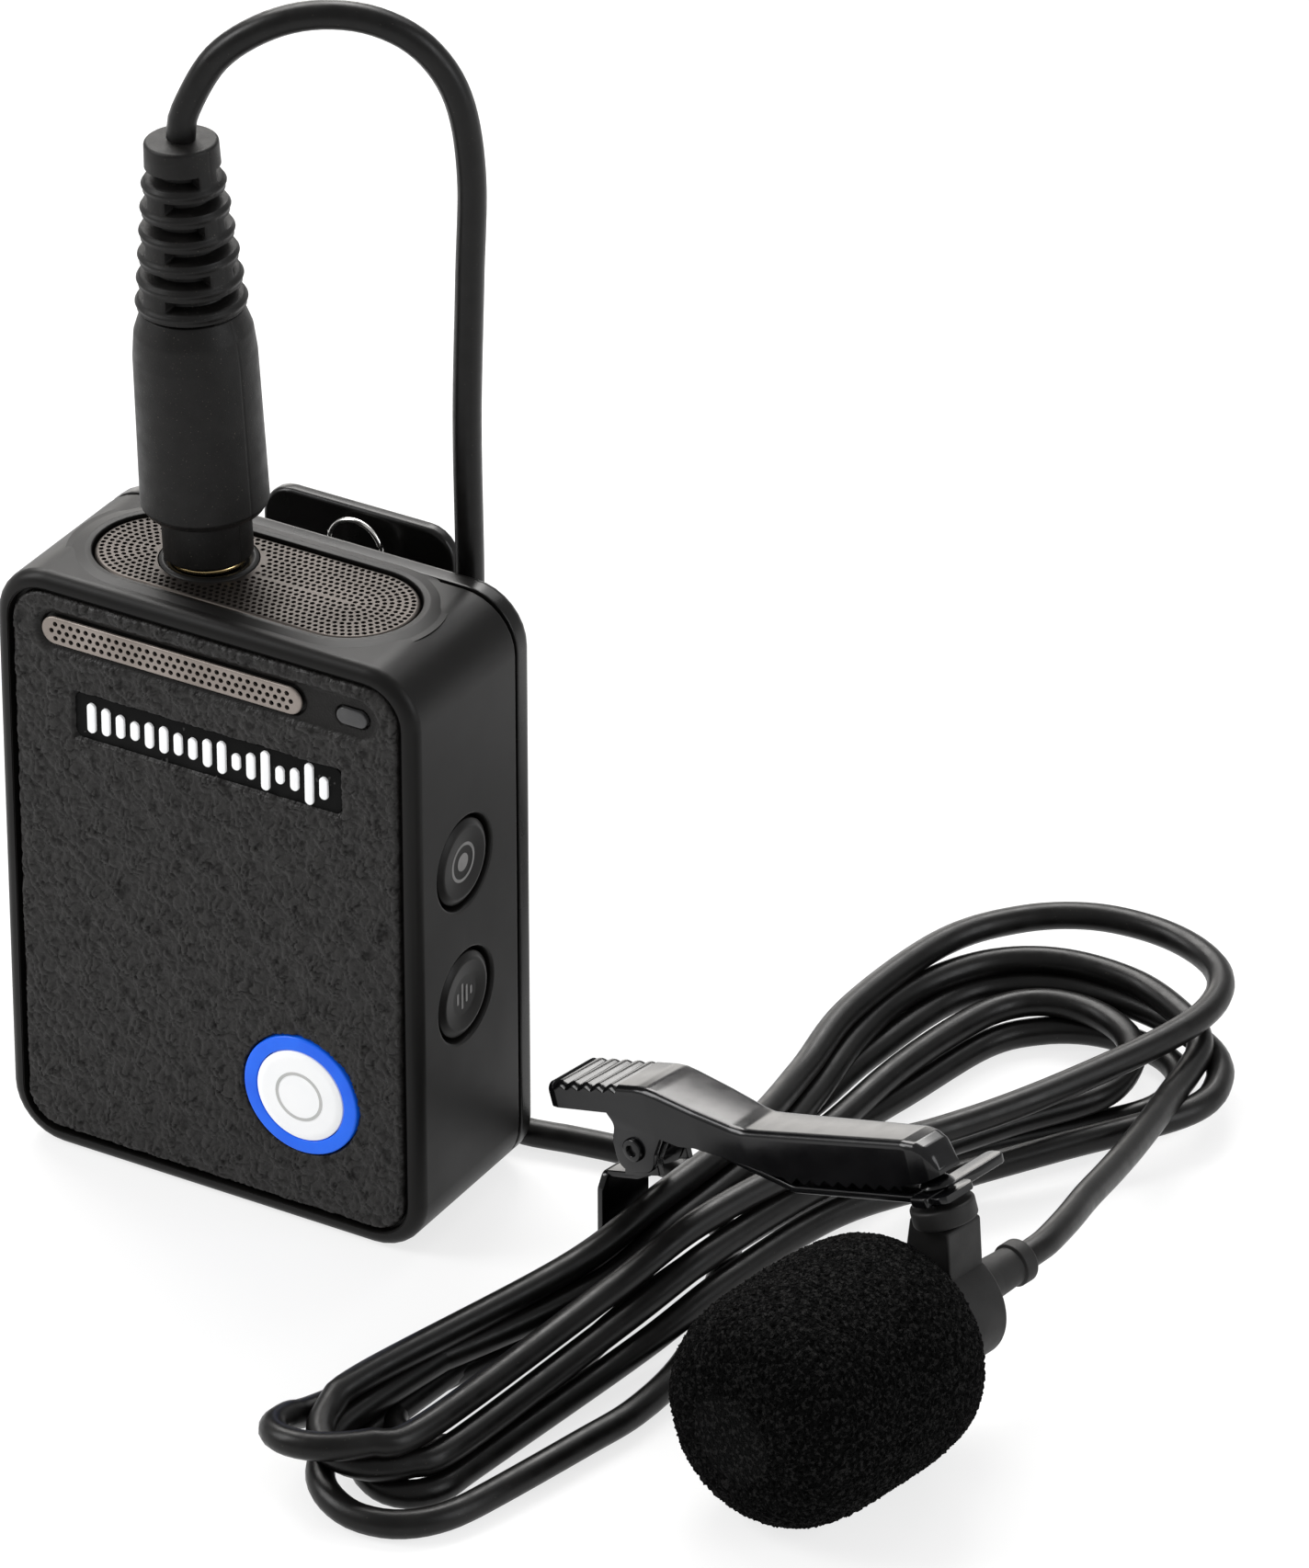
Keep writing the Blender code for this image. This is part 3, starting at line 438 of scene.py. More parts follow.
def turned(corners, at, steps=64, closed=False, arc=5, shape=None):
    """A lathe from (radius, z, rounding) corners in millimetres."""
    return lathe(in_mm(rounded(corners, arc)), at, steps, closed, shape)


def drill(radius, top, bottom, at, steps=32):
    """A plain cylinder, in millimetres, to cut with."""
    return turned([(0, top, 0), (radius, top, 0), (radius, bottom, 0), (0, bottom, 0)], at, steps)


def rounded_loop(corners, steps=5):
    """A closed outline whose corners (x, y, radius) are rounded by arcs."""
    wrapped = [corners[-1]] + list(corners) + [corners[0]]
    points = []
    for i in range(1, len(wrapped) - 1):
        x, y, radius = wrapped[i]
        if radius <= 0:
            points.append((x, y))
        else:
            points += rounded(wrapped[i - 1:i + 2], steps)[1:-1]
    return points


def rect_loop(x0, x1, z0, z1, radius, steps=8):
    return rounded_loop([(x0, z0, radius), (x1, z0, radius), (x1, z1, radius),
                         (x0, z1, radius)], steps)


def pill_loop(x0, x1, y0, y1, grow=0.0, steps=24):
    """A stadium outline, lying along X, grown outwards by grow."""
    half, middle = (y1 - y0) / 2, (y0 + y1) / 2
    radius = half + grow
    points = []
    for centre, start in ((x1 - half, -90), (x0 + half, 90)):
        for i in range(steps + 1):
            a = math.radians(start + 180 * i / steps)
            points.append((centre + radius * math.cos(a), middle + radius * math.sin(a)))
    return points


def circle(x, y, radius, count=8, start=0.0):
    return [(x + radius * math.cos(start + 2 * math.pi * i / count),
             y + radius * math.sin(start + 2 * math.pi * i / count)) for i in range(count)]


def quarter(edge, steps):
    """Steps (inwards, down) from a wall to a flat top, round a quarter circle."""
    angles = [math.pi / 2 * k / steps for k in range(steps + 1)]
    return [(edge * (1 - math.cos(a)), edge * (1 - math.sin(a))) for a in angles]


def inset(points, distance):
    """A closed outline moved inwards."""
    count = len(points)
    moved = []
    for i in range(count):
        a, b, c = (Vector(points[(i + k) % count]) for k in (-1, 0, 1))
        before, after = (b - a).normalized(), (c - b).normalized()
        side = Vector((-(before + after).y, (before + after).x)).normalized()
        lean = max(0.5, side.dot(Vector((-before.y, before.x))))
        moved.append(b + side * (distance / lean))
    return moved


def prism(loop, low, high, at, edge=0.0, steps=3, both=False):
    """A flat outline raised from low to high along local Z, its upper rim rounded by edge
    (both rims if both)."""
    if sum(a[0] * b[1] - b[0] * a[1] for a, b in zip(loop, loop[1:] + loop[:1])) < 0:
        loop = loop[::-1]
    levels = [(0.0, low)]
    if edge and both:
        levels = [(d, low + drop) for d, drop in quarter(edge, steps)[::-1]]
    levels += [(d, high - drop) for d, drop in quarter(edge, steps)] if edge else [(0.0, high)]
    return stack([[at @ Vector((*p, z)) for p in inset(loop, d)] for d, z in levels])


def slab(corners, low, high, at, edge):
    """A plate from (x, y, rounding) corners in millimetres, both its rims rounded."""
    return prism(rounded_loop(in_mm(corners)), low * MM, high * MM, at, edge * MM, both=True)


def perforated(levels, holes, thickness, at, opening=None):
    """A thin plate with many holes. levels are (outline, z) from the lower rim to the flat
    top, holes small loops, opening one large loop. Local Z points out of the plate."""
    rim, top = levels[-1]
    gaps = holes + ([opening] if opening else [])
    points, edges = [], []
    for loop in [rim] + gaps:
        first = len(points)
        points += [Vector(p) for p in loop]
        edges += [(first + i, first + (i + 1) % len(loop)) for i in range(len(loop))]
    flat, _, faces, _, _, _ = delaunay_2d_cdt(points, edges, [], 1, 1e-9)
    middles = np.array([np.mean(loop, axis=0) for loop in gaps])
    reaches = np.linalg.norm(np.array([loop[0] for loop in gaps]) - middles, axis=1)
    reaches *= np.array([0.98] * len(holes) + [0.999] * (len(gaps) - len(holes)))
    bm = bmesh.new()
    upper = [bm.verts.new((x, y, top)) for x, y in flat]
    lower = [bm.verts.new((x, y, top - thickness)) for x, y in flat]
    for face in faces:
        centre = np.mean([flat[i] for i in face], axis=0)
        if np.all(np.linalg.norm(middles - centre, axis=1) > reaches):
            bm.faces.new([upper[i] for i in face])
            bm.faces.new([lower[i] for i in face][::-1])

    def spot(p, digits=7):
        return round(p[0], digits), round(p[1], digits)
    on_rim = {spot(p, 9) for p in rim}
    twin = dict(zip(upper, lower))
    for edge in [e for e in bm.edges if len(e.link_faces) == 1 and e.verts[0] in twin]:
        a, b = edge.verts
        if not (spot(a.co, 9) in on_rim and spot(b.co, 9) in on_rim):
            bm.faces.new((a, b, twin[b], twin[a]))
    at_spot = {spot(v.co): v for v in upper}
    ring = [at_spot[spot(p)] for p in rim]
    rows = [[bm.verts.new((*p, z)) for p in outline] for outline, z in levels[:-1]]
    skins = [[twin[v] for v in ring]] + rows + [ring]
    for a, b in zip(skins, skins[1:]):
        for i in range(len(ring)):
            j = (i + 1) % len(ring)
            bm.faces.new((a[i], a[j], b[j], b[i]))
    bmesh.ops.delete(bm, geom=[v for v in bm.verts if not v.link_faces], context="VERTS")
    faces_out(bm)
    bmesh.ops.transform(bm, matrix=at, verts=bm.verts)
    return bm


def as_object(source, name):
    mesh = bpy.data.meshes.new(name)
    source.to_mesh(mesh)
    source.free()
    obj = bpy.data.objects.new(name, mesh)
    bpy.context.scene.collection.objects.link(obj)
    return obj


def shape_from(bm, cuts=(), joins=()):
    """The mesh of bm with other bmeshes joined to it, then others cut from it."""
    target = as_object(bm, "blank")
    tools = [(as_object(tool, "join"), "UNION") for tool in joins]
    tools += [(as_object(tool, "cut"), "DIFFERENCE") for tool in cuts]
    for tool, operation in tools:
        boolean = target.modifiers.new(operation, "BOOLEAN")
        boolean.operation = operation
        boolean.object = tool
        boolean.solver = "EXACT"
    bpy.context.view_layer.update()
    graph = bpy.context.evaluated_depsgraph_get()
    mesh = bpy.data.meshes.new_from_object(target.evaluated_get(graph))
    for obj in [target] + [tool for tool, _ in tools]:
        bpy.data.objects.remove(obj)
    return mesh


def even_steps(track, count):
    """Points at even steps along a track."""
    track = np.array(track)
    along = np.concatenate([[0], np.cumsum(np.linalg.norm(np.diff(track, axis=0), axis=1))])
    at = np.linspace(0, along[-1], count)
    return np.stack([np.interp(at, along, column) for column in track.T], 1)


def catmull(knots, spacing):
    """Points about a spacing apart on a smooth curve through the knots."""
    knots = [Vector(k) for k in knots]
    ends = [knots[0] * 2 - knots[1]] + knots + [knots[-1] * 2 - knots[-2]]
    fine = []
    for a, b, c, d in zip(ends, ends[1:], ends[2:], ends[3:]):
        for i in range(24):
            t = i / 24
            fine.append(0.5 * (2 * b + (c - a) * t + (2 * a - 5 * b + 4 * c - d) * t * t
                               + (3 * b - a - 3 * c + d) * t ** 3))
    fine.append(knots[-1])
    length = sum((b - a).length for a, b in zip(fine, fine[1:]))
    return [Vector(p) for p in even_steps(fine, max(2, round(length / spacing)) + 1)]


def tube(points, radius, sides=14):
    """A round tube along points, closed with flat ends, without twist."""
    rings = []
    tangent = (points[1] - points[0]).normalized()
    side = tangent.orthogonal().normalized()
    for i, p in enumerate(points):
        ahead = points[min(i + 1, len(points) - 1)] - points[max(i - 1, 0)]
        side = tangent.rotation_difference(ahead.normalized()) @ side
        tangent = ahead.normalized()
        other = tangent.cross(side)
        rings.append([p + (side * math.cos(a) + other * math.sin(a)) * radius
                      for a in (2 * math.pi * k / sides for k in range(sides))])
    return stack(rings)


# ------------------------------------------------------------------ the cord
# Far folds of the hank, in winding order: middle (across, along), half width, depth, lean of
# the tip and the heights of the right side, the tip and the left side, in millimetres on the
# hank's bed.
FAR_FOLDS = [((-23.6, 50.5), 11.9, 12.7, 0.4, (4.3, 4.9, 5.0)),
             ((-25.4, 55.0), 11.0, 12.9, 1.8, (6.9, 6.9, 6.9)),
             ((-23.7, 50.5), 7.4, 9.3, -0.8, (3.4, 3.2, 3.2)),
             ((-22.4, 53.0), 7.7, 8.2, 1.8, (1.15, 1.15, 1.15)),
             ((-22.3, 53.4), 12.0, 9.4, 1.2, (3.0, 3.2, 3.2))]
# Near folds: middle, half width, depth, lean of the tip, heights of left, tip and right.
NEAR_FOLDS = [((-26.3, -19.6), 4.6, 7.9, 1.7, (3.4, 5.2, 5.2)),
              ((-25.0, -17.6), 4.6, 7.2, 0.6, (5.2, 3.6, 3.3)),
              ((-25.4, -11.0), 4.2, 6.4, 0.0, (1.2, 1.3, 1.2)),
              ((-24.3, -16.0), 4.4, 7.0, -1.6, (1.3, 1.2, 1.2)),
              ((-22.6, -18.5), 6.3, 8.5, 0.0, (3.2, 1.2, 1.15))]
SQUARE = 0.88                                 # under 1 the folds are fuller than an ellipse
# Lanes at the waist, (across, height), of the strands that leave each far fold and each near one.
LEFT_LANES = [(-26.2, 3.3), (-27.3, 5.3), (-27.4, 1.15), (-29.7, 1.15), (-28.5, 3.3)]
RIGHT_LANES = [(-22.9, 5.3), (-21.6, 3.3), (-23.6, 1.15), (-20.3, 1.15)]
LANE_STOPS = (2.0, 12.0, 24.0, 34.0, 43.0)    # along the hank
LEFT_SPREAD = (15.0, 36.0)                    # where a strand leaves its lane, and over what
RIGHT_SPREADS = [(15.0, 40.0), (28.0, 30.0), (31.0, 27.0), (24.0, 34.0)]
HUMP = 2.2                                    # rise over the strand that leaves sideways


def ease(t):
    t = max(0.0, min(1.0, t))
    return t * t * (3 - 2 * t)


def strand(lane, fold_side, fold_z, spread):
    """Points of a run at the lane stops, from the waist out to a far fold's side."""
    across, z = lane
    points = []
    for stop in LANE_STOPS:
        share = ease((stop - spread[0]) / spread[1])
        rise = HUMP * ease((stop + 2) / 9) * (1 - ease((stop - 24) / 14))
        points.append((across + (fold_side - across) * share, stop,
                       z + (fold_z - z) * ease((stop - 20) / 25) + rise))
    return points


def fold(middle, half, depth, heights, start, lean):
    """Half a turn counter-clockwise round a fold: heights at its start, tip and end."""
    points, steps = [], 6
    for i in range(steps + 1):
        t = i / steps
        a = math.radians(start + 180 * t)
        z = (heights[0] * (1 - t) * (1 - 2 * t) + heights[1] * 4 * t * (1 - t)
             + heights[2] * t * (2 * t - 1))
        wide = math.copysign(abs(math.cos(a)) ** SQUARE, math.cos(a))
        deep = math.copysign(abs(math.sin(a)) ** SQUARE, math.sin(a))
        points.append((middle[0] + half * wide + lean * math.sin(a),
                       middle[1] + depth * deep, z))
    return points


def hank_points():
    """The spare cord: five turns, from the microphone's lead to the lead across the floor."""
    points = []
    for i, (middle, half, depth, lean, heights) in enumerate(FAR_FOLDS):
        arc = fold(middle, half, depth, heights, 0, lean)
        points += arc[2:] if i == 0 else arc
        left = strand(LEFT_LANES[i], middle[0] - half, heights[2], LEFT_SPREAD)
        points += left[::-1]
        near, near_half, near_depth, near_lean, near_z = NEAR_FOLDS[i]
        points += fold(near, near_half, near_depth, near_z, 180, near_lean)
        if i < len(RIGHT_LANES):
            after, after_half, _, _, after_z = FAR_FOLDS[i + 1]
            points += strand(RIGHT_LANES[i], after[0] + after_half, after_z[0],
                             RIGHT_SPREADS[i])
    return points


def cord_route():
    """The whole cord: strain relief, hank, floor, riser, arch and boot."""
    lead = [(0.0, 21.8, 0.0), (-0.05, 23.0, 0.0), (-0.3, 25.0, -0.1), (-1.6, 29.0, -0.6),
            (-3.4, 33.4, -1.4), (-5.3, 38.4, -2.4), (-7.2, 43.2, -3.3), (-9.4, 48.4, -4.2),
            (-11.4, 53.0, -4.9), (-12.9, 57.0, -5.2), (-14.4, 60.2, -5.2)]
    leaving = [(-15.9, -9.0, 1.15), (-15.8, -3.5, 1.15), (-16.9, 2.5, 1.15),
               (-19.2, 8.0, 1.15), (-22.4, 13.2, 1.15), (-26.2, 18.6, 1.15)]
    floor = [(31.3, 10.6, 1.15), (28.2, 11.7, 1.15), (24.5, 11.7, 1.15), (20.0, 11.0, 1.15),
             (16.4, 10.3, 1.15), (13.6, 10.2, 2.1), (12.3, 10.4, 5.4), (12.1, 10.5, 10.0)]
    riser = [(12.1, 10.5, 25.0), (11.9, 10.5, 38.0), (11.9, 10.5, 49.6), (11.8, 10.5, 61.5),
             (12.15, 10.5, 73.2), (12.4, 10.5, 82.0), (11.5, 10.2, 88.2), (9.4, 9.0, 92.2),
             (6.2, 7.3, 94.3), (2.5, 5.3, 94.7), (-0.9, 3.4, 93.6), (-4.0, 1.8, 91.0),
             (-6.0, 0.7, 86.8)]
    end = PLUG @ Vector((0, 0, box("plug_boot")[1].z - CASE_H))
    route = [MIC @ (Vector(p) * MM) for p in lead]
    route += [BED @ (Vector(p) * MM) for p in hank_points() + leaving]
    route += [Vector(p) * MM for p in floor + riser] + [end]
    lowest = CORD_R + 0.02 * MM
    return [Vector((p.x, p.y, max(p.z, lowest))) for p in catmull(route, 0.8 * MM)]


def cord():
    line = cord_route()
    length = sum((b - a).length for a, b in zip(line, line[1:]))
    jacket = piece("cord", tube(line, CORD_R), "cord", None,
                   ("cord_riser", "cord_floor_lead", "cord_hank", "cord_mic_lead"),
                   smooth=60)
    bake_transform(jacket)
    return jacket, line, length


# ------------------------------------------------------------------ transmitter case
def case_ring(y, inwards):
    return [Vector((x, y, z)) for x, z in rect_loop(
        -HALF_W + inwards, HALF_W - inwards, inwards, CASE_H - inwards, CORNER_R - inwards)]


def front_frame(x, z):
    """Local X to the right, local Y up, local Z out of the front."""
    return move(x, FRONT_Y, z) @ turn(90, "X")


def face_of(node):
    """A front piece's frame, half width and half height."""
    low, high, centre = box(node)
    return front_frame(centre.x, centre.z), (high.x - low.x) / 2, (high.z - low.z) / 2


def on_side(node):
    """A side button's frame, local Z out of the case's right side, and its radius in mm."""
    low, high, centre = box(node)
    return move(HALF_W, centre.y, centre.z) @ turn(90, "Y"), (high.z - low.z) / 2 / MM


def front_shell():
    wall, recess = 1.5 * MM, 0.8 * MM
    profile = [(FRONT_Y + recess + wall, wall), (SEAM_Y, wall), (SEAM_Y, 0.18 * MM),
               (SEAM_Y - 0.06 * MM, 0.05 * MM), (SEAM_Y - 0.2 * MM, 0)]
    profile += [(FRONT_Y + drop, inwards) for inwards, drop in quarter(EDGE_R, 8)]
    profile += [(FRONT_Y + y * MM, RIM + inwards * MM) for y, inwards in (
        (0, -0.14), (0.07, -0.10), (0.07, -0.05), (0, -0.02), (0.05, 0), (recess / MM, 0.02))]
    body = stack([case_ring(y, inwards) for y, inwards in profile])
    low, high, _ = box("top_grille")
    cuts = [prism(pill_loop(low.x, high.x, low.y, high.y, 0.3 * MM), CASE_H - 1.4 * MM,
                  CASE_H + MM, Matrix.Identity(4)),
            drill(3.75, 1, -6, move(JACK.x, JACK.y, CASE_H), 48)]
    for node in ("rec_button", "noise_cut_button"):
        at, reach = on_side(node)
        reach += 0.28
        mouth = [(0, 1), (reach + 0.35, 1), (reach + 0.35, 0.02), (reach + 0.14, -0.08),
                 (reach, -0.34), (reach, -3), (0, -3)]
        cuts.append(lathe(in_mm(mouth), at, 64))
    at, reach, _ = face_of("power_button")
    cuts.append(drill(reach / MM + 0.3, 2, -4, at, 64))
    low, high, centre = box("charging_port")
    tall, wide = (high.z - low.z) / 2, (high.y - low.y) / 2
    cuts.append(prism(pill_loop(-tall, tall, -wide, wide, 0.35 * MM), -MM, 3 * MM,
                      move(-HALF_W, centre.y, centre.z) @ turn(90, "Y")))
    piece("case_front", shape_from(body, cuts), "case", "transmitter", ("front_housing",),
          smooth=32, weigh=True)


def lug_frame(x, centre, away):
    """Local X runs up the case, local Y towards away (1 or -1) on the case's Y."""
    return move(x, centre.y, centre.z) @ Matrix(
        ((0, 0, 1, 0), (0, away, 0, 0), (1, 0, 0, 0), (0, 0, 0, 1)))


def rear_shell():
    start, end = COVER_LOW.y, COVER_LOW.y + 1.9 * MM
    profile = [(start + y * MM, inwards * MM) for y, inwards in (
        (-0.7, 1.7), (-0.7, 0.55), (0, 0.55), (0, 0.18), (0.06, 0.05), (0.2, 0))]
    profile += [(end - drop, inwards) for inwards, drop in quarter(0.8 * MM, 7)]
    body = stack([case_ring(y, inwards) for y, inwards in profile])
    pin = box("belt_clip_pin")[2]
    lug = [(-1.6, -1.3, 1.2), (1.6, -1.3, 1.2), (1.6, 4.0, 0), (-1.6, 4.0, 0)]
    joins = [slab(lug, -0.7, 0.7, lug_frame(x * MM, pin, -1), 0.15) for x in (-5.4, 5.4)]
    cuts = [drill(0.85, 7, -7, Matrix.Translation(pin) @ turn(90, "Y"))]
    seat = [(0, 1), (1.75, 1), (1.75, 0), (1.6, -0.15), (1.6, -1.0), (0, -1.0)]
    for i in range(SCREWS):
        centre = box(f"cover_screw_{i + 1}")[2]
        cuts.append(lathe(in_mm(seat), move(centre.x, end, centre.z) @ turn(-90, "X"), 40))
    piece("case_back", shape_from(body, cuts, joins), "cover", "transmitter", ("rear_cover",),
          smooth=32, weigh=True)


def screws():
    head = [(0, 0, 0), (1.2, 0, 0.2), (1.2, -0.5, 0), (0.6, -0.5, 0), (0.6, -5.5, 0), (0, -6, 0)]
    slot = rect_loop(-0.75 * MM, 0.75 * MM, -0.13 * MM, 0.13 * MM, 0.1 * MM, 3)
    for i in range(SCREWS):
        node = f"cover_screw_{i + 1}"
        _, high, centre = box(node)
        at = move(centre.x, high.y, centre.z) @ turn(-90, "X")
        first = at @ Matrix.Rotation(0.5 + i, 4, "Z")
        cross = [prism(slot, -0.28 * MM, 0.2 * MM, first @ turn(angle, "Z")) for angle in (0, 90)]
        piece(f"screw_{i + 1}", shape_from(turned(head, at, 40), cross), "dark_wire",
              "transmitter", (node,))


# ------------------------------------------------------------------ leather front
def pill_distance(x, z, low, high):
    """Distance outside a stadium that lies in the box low-high, negative inside."""
    radius = (high.z - low.z) / 2
    nearest = np.clip(x, low.x + radius, high.x - radius)
    return np.hypot(x - nearest, z - (low.z + high.z) / 2) - radius


def step_down(distance, width):
    """1 well inside, 0 outside, easing over width."""
    t = np.clip(0.5 - distance / width, 0, 1)
    return t * t * (3 - 2 * t)


def pebbles(x, z, cell):
    """Distances, in cells, from the creases between leather pebbles and from their middles."""
    gx, gz = np.floor(x / cell), np.floor(z / cell)
    near, second = np.full(x.shape, 9.0), np.full(x.shape, 9.0)
    for i in (-1, 0, 1):
        for j in (-1, 0, 1):
            cx, cz = gx + i, gz + j
            h1 = np.sin(cx * 127.1 + cz * 311.7) * 43758.5453
            h2 = np.sin(cx * 269.5 + cz * 183.3) * 43758.5453
            px, pz = cx + h1 - np.floor(h1), cz + h2 - np.floor(h2)
            d = np.hypot(px - x / cell, pz - z / cell)
            second = np.minimum(second, np.maximum(near, d))
            near = np.minimum(near, d)
    return second - near, near


def cloud(x, z, scale, seed):
    """Smooth noise over two arrays of places, scale to a millimetre."""
    rows = zip(x / MM * scale, z / MM * scale)
    return np.array([[noise.noise((a, b, seed)) for a, b in zip(*row)] for row in rows])


def badge_box():
    low, high, _ = box("front_badge")
    return low, high - Vector((0, 0, 0.5 * MM))


def leather_shape(x, z):
    """Relief in millimetres of the pebbled grain, and how dark its creases are painted as shade.
    """
    wobble, ripple = cloud(x, z, 0.7, 3.0), cloud(x, z, 2.6, 7.0)
    stretch = 0.62 * z + 0.10 * x
    grain, middle = pebbles(x + (wobble * 0.8 + ripple * 0.22) * MM,
                            stretch + (wobble * 0.7 - ripple * 0.20) * MM, 0.62 * MM)
    fine, heart = pebbles(x * 1.02 + (5 + ripple * 0.15) * MM,
                          stretch * 1.3 + wobble * 0.4 * MM, 0.34 * MM)
    open_creases = np.clip(0.60 + 1.5 * ripple * wobble + 0.9 * wobble, 0.30, 1)
    domed = (1 - np.clip(middle / 0.85, 0, 1) ** 2) * np.clip(grain / 0.30, 0, 1) ** 0.5
    beads = 1 - np.clip(heart / 0.85, 0, 1) ** 2
    relief = 0.165 * domed * (0.55 + 0.45 * open_creases) + 0.035 * beads + 0.09 * wobble
    # dark is painted shade: the creases between pebbles, round the small beads and along the fine
    # creases are painted darker.
    dark = (0.66 * np.clip(1 - grain / 0.24, 0, 1) * open_creases + 0.20 * (1 - beads)
            + 0.10 * np.clip(1 - fine / 0.25, 0, 1))
    return relief, dark


def leather_depth(x, z, outside):
    """How far each point lies behind the leather's front plane, and how dark it is painted: shade
    in the creases, an even tone on the smooth strip.
    """
    relief, dark = leather_shape(x, z)
    slot_low, slot_high, _ = box("slot_grille")
    lens_low, lens_high, _ = box("status_lens")
    strip = pill_distance(x, z, slot_low - Vector((0.55, 0, 0.55)) * MM,
                          Vector((lens_high.x + 0.9 * MM, 0, slot_high.z + 0.55 * MM)))
    smooth = step_down(strip, 0.5 * MM)
    # On the smooth strip the painted crease shade gives way to an even half-dark tone.
    dark = np.clip(dark * (1 - smooth) + 0.50 * smooth, 0, 1)
    low, high = badge_box()
    badge = np.maximum(np.abs(x - (low.x + high.x) / 2) - (high.x - low.x) / 2,
                       np.abs(z - (low.z + high.z) / 2) - (high.z - low.z) / 2)
    low, high, centre = box("power_light_ring")
    ring = np.hypot(x - centre.x, z - centre.z) - (high.x - low.x) / 2
    depth = 0.08 - relief * (1 - smooth) + 0.16 * smooth
    depth -= 0.07 * np.exp(-((strip / MM - 0.45) / 0.35) ** 2)
    windows = [(0.50, pill_distance(x, z, slot_low, slot_high), 0.16, 0.12),
               (0.50, pill_distance(x, z, lens_low, lens_high), 0.12, 0.12),
               (0.42, badge, 0.05, 0.22), (0.60, ring, 0.10, 0.14)]
    for sink, distance, gap, width in windows:
        depth += sink * step_down(distance - gap * MM, width * MM)
    depth += 0.05 * np.exp(-(ring / (0.5 * MM)) ** 2)
    depth += 0.30 * np.clip(1 + outside / (0.35 * MM), 0, 1) ** 2
    return depth * MM, dark


def leather():
    """The inlay: a fine height field with pebbles, creases, sunk windows and turned edges."""
    low, high, centre = box("leather_inlay")
    pitch = 0.125 * MM
    nx, nz = round((high.x - low.x) / pitch), round((high.z - low.z) / pitch)
    x, z = np.meshgrid(np.linspace(low.x, high.x, nx), np.linspace(low.z, high.z, nz))
    radius = CORNER_R - RIM - 0.3 * MM
    flat_x, flat_z = high.x - radius, (high.z - low.z) / 2 - radius
    over_x = np.maximum(np.abs(x) - flat_x, 0)
    over_z = np.maximum(np.abs(z - centre.z) - flat_z, 0)
    outside = np.hypot(over_x, over_z) - radius
    # pull the grid's corners in to the rounded outline
    shrink = radius / np.maximum(radius + outside, 1e-9)
    beyond = outside > 1e-9
    x = np.where(beyond, np.sign(x) * (flat_x + over_x * shrink), x)
    z = np.where(beyond, centre.z + np.sign(z - centre.z) * (flat_z + over_z * shrink), z)
    depth, dark = leather_depth(x, z, np.minimum(outside, 0))
    y = low.y + depth
    bm = bmesh.new()
    # Per-point values of painted crease shade, and of the smooth strip's tone, for the material.
    crease_shade_and_strip_tone = bm.verts.layers.float.new("crease_shade_and_strip_tone")
    grid = [[bm.verts.new((x[j, i], y[j, i], z[j, i])) for i in range(nx)] for j in range(nz)]
    for row, darks in zip(grid, dark):
        for vert, value in zip(row, darks):
            vert[crease_shade_and_strip_tone] = value
    for a, b in zip(grid, grid[1:]):
        for i in range(nx - 1):
            bm.faces.new((a[i], a[i + 1], b[i + 1], b[i]))
    border = (grid[0] + [row[-1] for row in grid[1:]] + grid[-1][-2::-1]
              + [row[0] for row in grid[-2:0:-1]])
    back = [bm.verts.new((v.co.x, high.y + 0.2 * MM, v.co.z)) for v in border]
    for i in range(len(border)):
        j = (i + 1) % len(border)
        bm.faces.new((border[i], back[i], back[j], border[j]))
    bm.faces.new(back)
    bmesh.ops.dissolve_degenerate(bm, dist=1e-7, edges=bm.edges)
    piece("leather_front", faces_out(bm), "leather", "transmitter", ("leather_inlay",),
          smooth=80)


def slot_grille():
    at, half_x, half_z = face_of("slot_grille")
    rims = [(0.0, -0.12), (0.0, 0.0), (0.04, 0.06), (0.14, 0.10)]
    levels = [(pill_loop(-half_x, half_x, -half_z, half_z, -d * MM), (z - 0.02) * MM)
              for d, z in rims]
    holes = []
    pitch, count = 0.68 * MM, 33
    for row, clear in ((-1, 0.85), (0, 0.62), (1, 0.85)):
        for i in range(count if row else count - 1):
            x = (i - (count - 1) / 2 + (0 if row else 0.5)) * pitch
            if abs(x) < half_x - clear * MM:
                holes.append(circle(x, row * 0.6 * MM, 0.21 * MM, 10))
    piece("slot_mesh", perforated(levels, holes, 0.25 * MM, at), "slot", "transmitter",
          ("slot_grille",), smooth=40)
    # A near-black sheet under the slots: painted shade for the dark inside the case.
    piece("slot_shade_backing", prism(pill_loop(-half_x, half_x, -half_z, half_z, -0.15 * MM),
                              -0.42 * MM, -0.28 * MM, at), "void", "transmitter")


def status_lens():
    at, half_x, half_z = face_of("status_lens")
    piece("status_window", prism(pill_loop(-half_x, half_x, -half_z, half_z), -0.4 * MM,
                                 -0.05 * MM, at, 0.12 * MM, 4), "lens", "transmitter",
          ("status_lens",))


